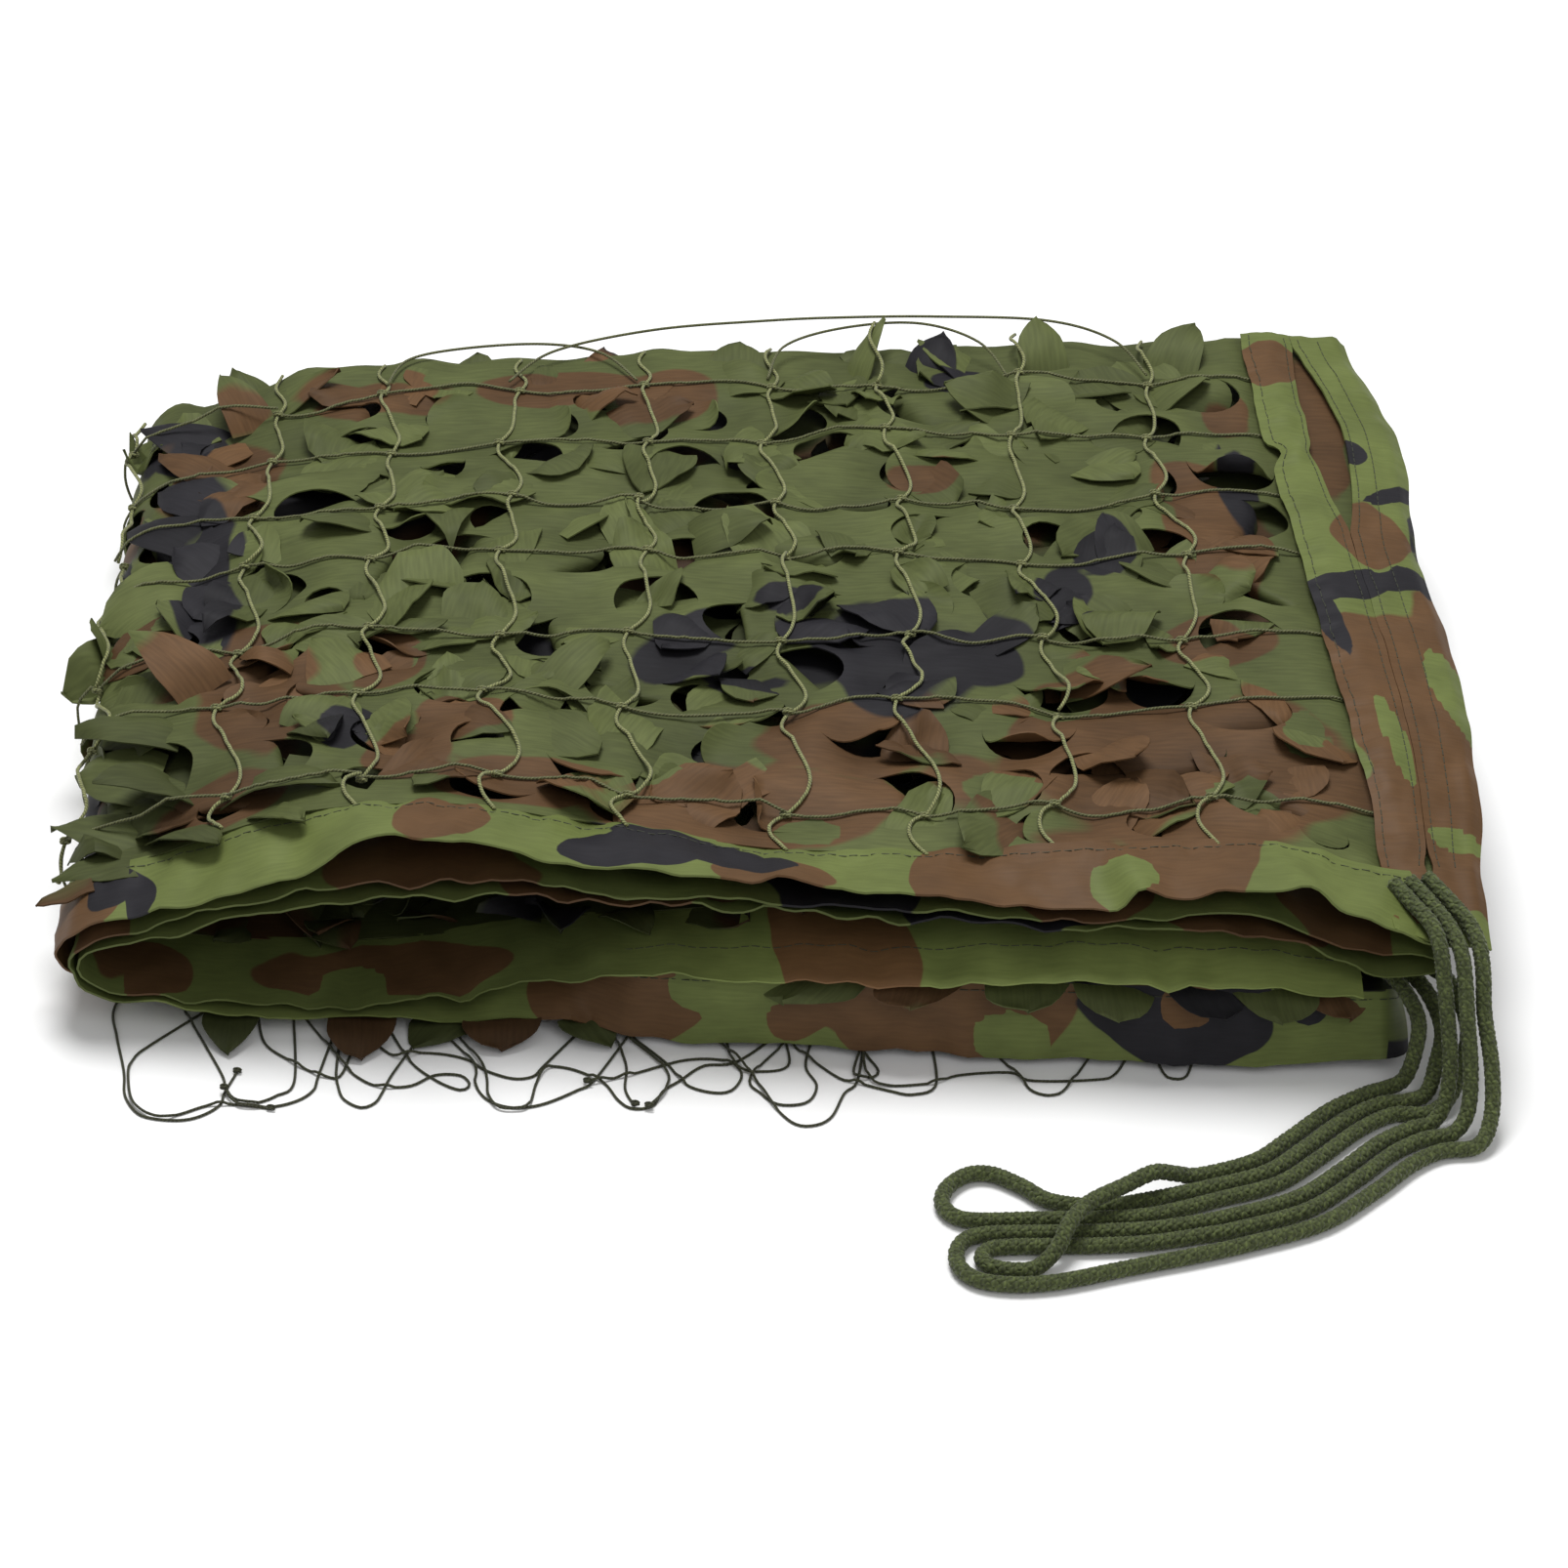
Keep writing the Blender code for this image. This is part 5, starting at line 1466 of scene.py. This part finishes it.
def net_knots():
    """The knots' places on the net, shaken a little where it lies slack. Under the stack only
    every second row is built."""
    chance = random.Random(5)
    knots = {}
    for c, s in enumerate(TOP_COLUMNS + WRAP_COLUMNS + UNDER_COLUMNS):
        loose = KNOTS_LOOSE if s < WRAP_FROM else 0
        for r in range(0, len(MESH_ROWS), UNDER_SKIP if c >= UNDER_FROM else 1):
            shift = chance.uniform(-loose, loose), chance.uniform(-loose, loose)
            knots[c, r] = (s + shift[0], net_y(s, MESH_ROWS[r]) + shift[1])
    return knots


def net_routes():
    """The cords between knots as places (s, y): those across and those along the top and the
    left end, and those under the stack. The knots come last."""
    chance = random.Random(31)
    knots = net_knots()
    across, along, under = [], [], []
    t = np.linspace(0, 1, 17)
    for (c, r), (s, y) in knots.items():
        if (c + 1, r) in knots:
            s2, y2 = knots[c + 1, r]
            bow = chance.uniform(-3.5, 3.5) * np.sin(math.pi * t)
            wave = 1.2 * np.sin(math.tau * t)
            route = np.stack([s + (s2 - s) * t, y + (y2 - y) * t + bow + wave], 1)
            (across if s2 < WRAP_TO else under).append(route)
        above = (c, r + (UNDER_SKIP if c >= UNDER_FROM else 1))
        if above in knots:
            s2, y2 = knots[above]
            # From its rear knot a cord leans left a little, then sags right and comes back late.
            sag = (2.2 + 4.6 * (1 - MESH_ROWS[r])) * chance.uniform(0.7, 1.25)
            fore = 1 - t
            bow = np.sin(math.pi * fore**2.3) - 0.3 * np.sin(math.pi * np.clip(fore / 0.3, 0, 1))
            route = np.stack([s + (s2 - s) * t - sag * bow, y + (y2 - y) * t], 1)
            (along if s < WRAP_TO else under).append(route)
    # Ends that are sewn to the band, to the tape and to the rear edge.
    for r in range(len(MESH_ROWS)):
        s, y = knots[0, r]
        sewn = -4.0 - band_left(y)
        across.append(np.stack([s + (sewn - s) * t, y + 2 * t + 2 * np.sin(math.pi * t)], 1))
    for c in range(len(TOP_COLUMNS) + 1):
        s, y = knots[c, 0]
        sewn = net_y(min(s, WRAP_FROM), 0) - 2.5
        along.append(np.stack([s + 5 * np.sin(math.pi * t**0.7), y + (sewn - y) * t], 1))
        s, y = knots[c, len(MESH_ROWS) - 1]
        last = net_y(min(s, WRAP_FROM), 0.995)
        along.append(np.stack([s - 2 * np.sin(math.tau * t), y + (last - y) * t], 1))
    return across, along, under, knots


def top_cords():
    """The cords over the top as x, y places."""
    across, along, _, _ = net_routes()
    return [np.stack([-route[:, 0], route[:, 1]], 1) for route in across + along]


def net_base(s, y):
    """Where the net would lie over smooth cloth, and the outward direction there."""
    x = np.maximum(-s, -WRAP_FROM)
    high = top_height(x, y)
    turn = math.pi * np.clip((s - WRAP_FROM) / (WRAP_TO - WRAP_FROM), 0, 1)
    middle = (high + UNDER_Z) / 2
    z = middle + (high - middle) * np.cos(turn)
    points = np.stack([x - WRAP_REACH * np.sin(turn), y, z], 1)
    return points, np.stack([-np.sin(turn), 0 * y, np.cos(turn)], 1)


def cloth_heights():
    """The finished leaf cloth's outer points, for cords to lie on, and their search tree."""
    data = bpy.data.objects["leaf_cloth"].data
    co = np.empty(len(data.vertices) * 3, np.float32)
    data.vertices.foreach_get("co", co)
    co = co.reshape(-1, 3) / MM - (0, TABLES_BACK, 0)
    outer = co[(co[:, 2] > 36) | (co[:, 0] < -196)]
    return tree_of(outer, flat=False), outer


# A cord's points come this close, feel the cloth so far about and aside, and are drawn taut to
# this slope. Round the left end it follows no leaf that stands out more than so far.
CORD_STEP, CORD_FEEL, CORD_ASIDE, CORD_SLOPE = 2.0, 9.0, 2.4, 0.32
LOWEST, WRAP_HIGHEST, WRAP_X = -3.0, 2.5, -186


def lay_on_cloth(route, heights, lift):
    """A cord's points over the cloth: it bridges the hollows and rests on the crests."""
    tree, outer = heights
    places = smooth_route(route, CORD_STEP)
    base, outward = net_base(places[:, 0], places[:, 1])
    raw = []
    for spot, way in zip(base, outward):
        best = LOWEST
        for _, n, _ in tree.find_range(spot, CORD_FEEL):
            rel = outer[n] - spot
            up = float(rel @ way)
            if up > best and np.linalg.norm(rel - up * way) < CORD_ASIDE:
                best = up
        raw.append(best if spot[0] > WRAP_X else min(best, WRAP_HIGHEST))
    raw = np.array(raw)
    index = np.arange(len(raw))
    fall = CORD_SLOPE * CORD_STEP
    taut = np.array([np.max(raw - fall * np.abs(index - i)) for i in index])
    kernel = np.array([1, 2, 3, 2, 1]) / 9
    soft = np.convolve(np.pad(taut, 2, mode="edge"), kernel, mode="valid")
    laid = base + outward * (np.maximum(soft, raw) + lift)[:, None]
    laid[:, 2] = np.maximum(laid[:, 2], lift)
    return laid


# Places of a floor loop nearer than this are under the stack or at its edge.
FLOOR_EDGE = -148


def slanted(loops):
    """The loops with the ends under the stack drawn aside, as the net's pull leaves them."""
    chance = random.Random(12)
    found = []
    for loop in loops:
        pulls = {0: chance.uniform(-13, 13), len(loop) - 1: chance.uniform(-13, 13)}
        found.append([(x + pulls.get(n, 0) * (y > FLOOR_EDGE), y)
                      for n, (x, y) in enumerate(loop)])
    return found


def lay_on_floor(loops, radius):
    """Loops on the floor, each raised where it passes over an earlier one."""
    done = []
    laid = []
    for loop in loops:
        route = smooth_route(loop, 1.6)
        z = np.full(len(route), radius + 0.05)
        tree = tree_of(done)
        for i, (x, y) in enumerate(route):
            for _, n, gap in tree.find_range((x, y, 0), 5.5):
                over = done[n][2] + 2.1 * radius
                z[i] = max(z[i], over - max(0, gap - 1.0) * 0.55)
        route = np.concatenate([route, z[:, None]], 1)
        done += route[4:-4].tolist()
        laid.append(route)
    return laid


# Slack rows that stand a little over the rear edge.
REAR_CORDS = (
    ((-124, 143, 61), (-118, 158, 62), (-100, 164, 63), (-72, 165, 64), (-52, 160, 63),
     (-40, 143, 62)),
    ((-83, 143, 62), (-68, 160, 64), (-34, 167, 68), (4, 169, 70), (30, 169, 71), (62, 169, 71),
     (100, 169, 69), (122, 160, 66), (132, 143, 62)),
    ((4, 143, 62), (10, 160, 65), (30, 167, 68), (56, 168, 69), (76, 160, 66), (85, 143, 62)),
)


class NET_OT_cord_mesh(bpy.types.Operator):
    """The knotted cord mesh over the cloth, round its left end and slack on the floor in front"""

    bl_idname = "camo_net.cord_mesh"
    bl_label = "Cord mesh"

    # Cords across and along, those under the stack and those on the floor, as shares of the size.
    ACROSS, ALONG, UNDER, FLOOR = 0.75, 0.95, 0.8, 0.68

    def execute(self, context):
        cords = context.scene.net_cords
        radius = cords.net / 2
        across, along, under, knots = net_routes()
        heights = cloth_heights()
        build = Build()
        for routes, thin, tone in ((across, self.ACROSS, 0.3), (along, self.ALONG, 0.7)):
            for route in routes:
                build.tube(lay_on_cloth(route, heights, radius), radius * thin, tone=tone)
        for route in REAR_CORDS:
            build.tube(smooth_route(route, CORD_STEP), radius * self.ACROSS, tone=0.3)
        for route in under:
            points = np.array([net_point(s, y) for s, y in smooth_route(route, 3.0)])
            build.tube(points, radius * self.UNDER, sides=5)
        # The floor loops and their end knots get the lowest value: painted shade in front of the
        # stack.
        for loop in lay_on_floor(slanted(FLOOR_LOOPS), radius * self.FLOOR):
            build.tube(loop, radius * self.FLOOR, tone=0.0)
            for end in (loop[0], loop[-1]):
                if end[1] < FLOOR_EDGE:
                    self.knot(build, cords, end + (0, 0, 0.3), 0.75, 0.0)
        for s, y in knots.values():
            middle = net_point(s, y)
            if s < WRAP_TO:
                spots = np.array([(s - 2, y), (s, y), (s + 2, y)])
                middle = lay_on_cloth(spots, heights, cords.net * 0.5)[1]
            self.knot(build, cords, middle, 1.0, 0.5)
        # Nylon twine has a faint sheen, and each turn of its lay gets a painted highlight.
        material = twine("net twine, twisted nylon", cords.net_colour, 2.2, 0.55, 1.25, 0.6)
        finish_piece(build.piece("net_cords", material), "cord_mesh", "cord_mesh")
        return {"FINISHED"}

    def knot(self, build, cords, middle, share, tone, turns=1.6):
        """A knot as a short turn of twine wound round the crossing."""
        t = np.linspace(0, 1, 15)
        turn = math.tau * turns * t
        wide = (cords.knot / 2 - cords.net * 0.35) * share
        route = np.stack([
            middle[0] + wide * 1.15 * np.cos(turn),
            middle[1] + wide * (2 * t - 1) * 0.9,
            np.maximum(middle[2] + wide * 0.55 * np.sin(turn), cords.net / 2),
        ], 1)
        build.tube(route, cords.net * 0.42 * share, sides=5, tone=tone)


def lane(aside):
    """The runs' shared way over the floor, so far to the side of its middle."""
    places = np.array(ROPE_LANE, float)
    moved = []
    for i, spot in enumerate(places):
        way = places[min(len(places) - 1, i + 1)] - places[max(0, i - 1)]
        way /= np.linalg.norm(way)
        moved.append((spot[0] - way[1] * aside, spot[1] + way[0] * aside))
    return moved


def at_rest(points):
    """Places with the rope's height on the floor where they have none of their own."""
    return [(*point, ROPE_REST)[:3] for point in points]


class NET_OT_drawcords(bpy.types.Operator):
    """The braided rope at the near right corner, in three bights"""

    bl_idname = "camo_net.drawcords"
    bl_label = "Drawcords"

    # Strands each way, the length of one turn, and a strand's measures as shares of the rope's.
    STRANDS, PITCH = 6, 17.5
    WIDE, HALF, WEAVE = 0.19, 0.11, 0.055

    def execute(self, context):
        cords = context.scene.net_cords
        # Polypropylene yarn is coarse, hairy and dull. Its ridges get a painted highlight and its
        # grooves painted shade.
        material = twine("drawcord, braided polypropylene", cords.rope_colour,
                         3.0, 0.65, 1.24, 0.75)
        for name, down, bight, up in ROPES:
            points = at_rest([*HANGS[down], *lane(ASIDE[down]), *bight,
                              *reversed(lane(ASIDE[up])), *reversed(HANGS[up])])
            obj = self.braid(name + "_rope", smooth_route(points, 0.75), cords.rope, material)
            finish_piece(obj, "drawcord", name)
            line = smooth_route(points, 3.0)
            path = place(line)
        return {"FINISHED"}

    def braid(self, name, route, diameter, material):
        """Strands each way round, every one passing over and under those that it meets."""
        _, side, rise = route_frames(route)
        along = along_route(route)
        chance = random.Random(3)
        half, weave = diameter * self.HALF, diameter * self.WEAVE
        middle = diameter / 2 - half - weave
        beat = np.cos(self.STRANDS * math.tau * along / self.PITCH)
        build = Build()
        for hand in (1, -1):
            for strand in range(self.STRANDS):
                turn = hand * math.tau * along / self.PITCH + math.tau * strand / self.STRANDS
                outward = side * np.cos(turn)[:, None] + rise * np.sin(turn)[:, None]
                line = route + outward * (middle + hand * weave * beat)[:, None]
                heading = np.gradient(line, axis=0)
                heading /= np.linalg.norm(heading, axis=1, keepdims=True)
                aside = np.cross(outward, heading)
                aside /= np.linalg.norm(aside, axis=1, keepdims=True)
                frames = heading, aside, np.cross(heading, aside)
                tone = chance.uniform(0.35, 0.65)
                build.tube(line, diameter * self.WIDE, half, frames=frames, tone=tone)
        return build.piece(name, material)


# ---------------------------------------------------------------- stitches


def stitch_tree():
    """Geometry Nodes that lay thread stitches end to end along curves."""
    tree = bpy.data.node_groups.new("Stitches", "GeometryNodeTree")
    sockets = (("Geometry", "Geometry"), ("Pitch", "Float"), ("Length", "Float"),
               ("Thread", "Float"), ("Material", "Material"))
    for name, kind in sockets:
        tree.interface.new_socket(name, in_out="INPUT", socket_type="NodeSocket" + kind)
    tree.interface.new_socket("Geometry", in_out="OUTPUT", socket_type="NodeSocketGeometry")
    given = node(tree, "NodeGroupInput").outputs
    spots = node(tree, "GeometryNodeCurveToPoints", {"mode": "LENGTH"},
                 Curve=given["Geometry"], Length=given["Pitch"])
    rod = node(tree, "GeometryNodeMeshCylinder", {"Vertices": 5, "Side Segments": 1},
               Radius=given["Thread"], Depth=given["Length"])
    lying = node(tree, "FunctionNodeAlignRotationToVector", {"axis": "Z"},
                 Rotation=spots.outputs["Rotation"], Vector=spots.outputs["Tangent"])
    strewn = node(tree, "GeometryNodeInstanceOnPoints", None, Points=spots.outputs["Points"],
                  Instance=rod.outputs["Mesh"], Rotation=lying.outputs[0])
    real = node(tree, "GeometryNodeRealizeInstances", None, Geometry=strewn.outputs[0])
    painted = node(tree, "GeometryNodeSetMaterial", None,
                   Geometry=real.outputs[0], Material=given["Material"])
    out = node(tree, "NodeGroupOutput")
    tree.links.new(painted.outputs[0], out.inputs[0])
    return tree


def stitched(name, slot, routes, stitches, material):
    """A piece made of stitches along routes."""
    data = bpy.data.curves.new(name + "_line", "CURVE")
    data.dimensions = "3D"
    for route in routes:
        points = place(route)
        spline = data.splines.new("POLY")
        spline.points.add(len(points) - 1)
        for target, point in zip(spline.points, points):
            target.co = (*point, 1)
    line = add_object(name + "_line", data)
    tree = stitch_tree()
    modifier = line.modifiers.new("Stitches", "NODES")
    modifier.node_group = tree
    values = {"Pitch": stitches.pitch * MM, "Length": stitches.length * MM,
              "Thread": stitches.thread * MM / 2, "Material": material}
    for item in tree.interface.items_tree:
        if item.in_out == "INPUT" and item.name in values:
            modifier[item.identifier] = values[item.name]
    mesh = evaluated_mesh(line)
    bpy.data.objects.remove(line)
    finish_piece(add_object(name, mesh), slot)


class NET_OT_stitches(bpy.types.Operator):
    """The sewn lines of the bindings"""

    bl_idname = "camo_net.stitches"
    bl_label = "Stitches"

    # Rows of stitches across the band, as shares of its width. The fourth layer's tape shows its
    # second row over this length before its end.
    BAND_ROWS = (0.07, 0.4, 0.53, 0.72)
    HANGING_LENGTH = 215

    def execute(self, context):
        stitches = context.scene.net_stitches
        # Spun polyester thread is dull and dark against the tape.
        material = plain_material("sewing thread, spun polyester", "#2F3322", 0.7)
        along = np.arange(2, SHEET_LENGTH - 2, 2.2)
        half_tape = context.scene.net_cloth.tape / 2
        shown = (layer_at(along) == FOURTH) & (along > SHEET_LENGTH - self.HANGING_LENGTH)
        routes = []
        # The tape's own seam, and the line across the part of the fourth layer's that hangs down.
        for places, across, side in ((along, 0.86, 1), (along[shown], 0.4, -1)):
            a = np.full(places.shape, across)
            route = tape_surface(places[:, None], a[:, None])[:, 0]
            normal = strip_normal(places, a, tape_point)
            routes.append(route + side * normal * (half_tape + 0.05))
        stitched("tape_stitches", "front_binding", routes, stitches, material)
        v = np.linspace(0.01, 0.985, 160)
        lines = [band_surface(np.full(v.shape, u), v) + (0, 0, half_tape + 0.1)
                 for u in self.BAND_ROWS]
        stitched("band_stitches", "end_binding", lines, stitches, material)
        return {"FINISHED"}


# ---------------------------------------------------------------- stage


class NET_OT_stage(bpy.types.Operator):
    """Pale floor, soft studio light and the camera"""

    bl_idname = "camo_net.stage"
    bl_label = "Stage"

    # The picture's side and the lens's focal length in its pixels, and the sensor in millimetres.
    IMAGE_SIDE, FOCAL, SENSOR = 1606, 5152, 36
    CAMERA = (-0.01966, -1.33250, 0.897)
    YAW, DOWN = 1.13, 34
    FLOOR_HALF = 6

    def execute(self, context):
        scene = context.scene
        # Matt white paper shows soft shadows and no gloss.
        material = plain_material("floor, matt white paper", "#F7F7F7", 0.9)
        far = self.FLOOR_HALF
        data = bpy.data.meshes.new("floor")
        corners = [(-far, -far, 0), (far, -far, 0), (far, far, 0), (-far, far, 0)]
        data.from_pydata(corners, [], [(0, 1, 2, 3)])
        data.materials.append(material)
        floor = add_object("floor", data)
        world = bpy.data.worlds.new("studio")
        world.use_nodes = True
        back = world.node_tree.nodes["Background"]
        back.inputs["Color"].default_value = (1, 1, 1, 1)
        back.inputs["Strength"].default_value = 0.4
        scene.world = world
        self.lamp("key", (-0.12, 0.4, 1.9), 0.95, 34)
        self.lamp("fill", (0.5, -1.2, 1.2), 1.0, 4)
        view = bpy.data.cameras.new("photo_view")
        view.sensor_width = view.sensor_height = self.SENSOR
        view.lens = self.FOCAL / self.IMAGE_SIDE * self.SENSOR
        view.clip_end = 50
        camera = add_object("photo_view", view)
        camera.location = self.CAMERA
        camera.rotation_euler = (math.pi / 2 - math.radians(self.DOWN), 0, -math.radians(self.YAW))
        scene.camera = camera
        scene.view_settings.view_transform = "Standard"
        return {"FINISHED"}

    def lamp(self, name, where, width, power):
        """A round soft lamp that faces the origin."""
        data = bpy.data.lights.new(name, "AREA")
        data.shape, data.size, data.energy = "DISK", width, power
        obj = add_object(name, data)
        obj.location = where
        obj.rotation_euler = (-Vector(where)).to_track_quat("-Z", "Y").to_euler()


# ---------------------------------------------------------------- add-on


class NET_PT_panel(bpy.types.Panel):
    bl_idname = "NET_PT_panel"
    bl_label = "Camouflage net"
    bl_space_type = "VIEW_3D"
    bl_region_type = "UI"
    bl_category = "Camouflage net"

    def draw(self, context):
        for group in GROUPS:
            box = self.layout.box()
            for prop in getattr(context.scene, group).bl_rna.properties:
                if prop.identifier not in ("rna_type", "name"):
                    box.prop(getattr(context.scene, group), prop.identifier)
        for operator in OPERATORS:
            self.layout.operator(operator.bl_idname)


GROUPS = {"net_cloth": NET_PG_cloth, "net_cords": NET_PG_cords, "net_stitches": NET_PG_stitches}
OPERATORS = (
    NET_OT_stage,
    NET_OT_drawcords,
    NET_OT_leaf_cloth,
    NET_OT_front_binding,
    NET_OT_end_binding,
    NET_OT_cord_mesh,
    NET_OT_stitches,
)


def register():
    for kind in (*GROUPS.values(), *OPERATORS, NET_PT_panel):
        bpy.utils.register_class(kind)
    for name, kind in GROUPS.items():
        setattr(bpy.types.Scene, name, bpy.props.PointerProperty(type=kind))


def unregister():
    for name in GROUPS:
        delattr(bpy.types.Scene, name)
    for kind in (NET_PT_panel, *reversed(OPERATORS), *reversed(GROUPS.values())):
        bpy.utils.unregister_class(kind)


def main():
    register()
    bpy.ops.camo_net.stage()
    bpy.ops.camo_net.drawcords()
    bpy.ops.camo_net.leaf_cloth()
    bpy.ops.camo_net.front_binding()
    bpy.ops.camo_net.end_binding()
    bpy.ops.camo_net.cord_mesh()
    bpy.ops.camo_net.stitches()


if __name__ == "__main__":
    main()
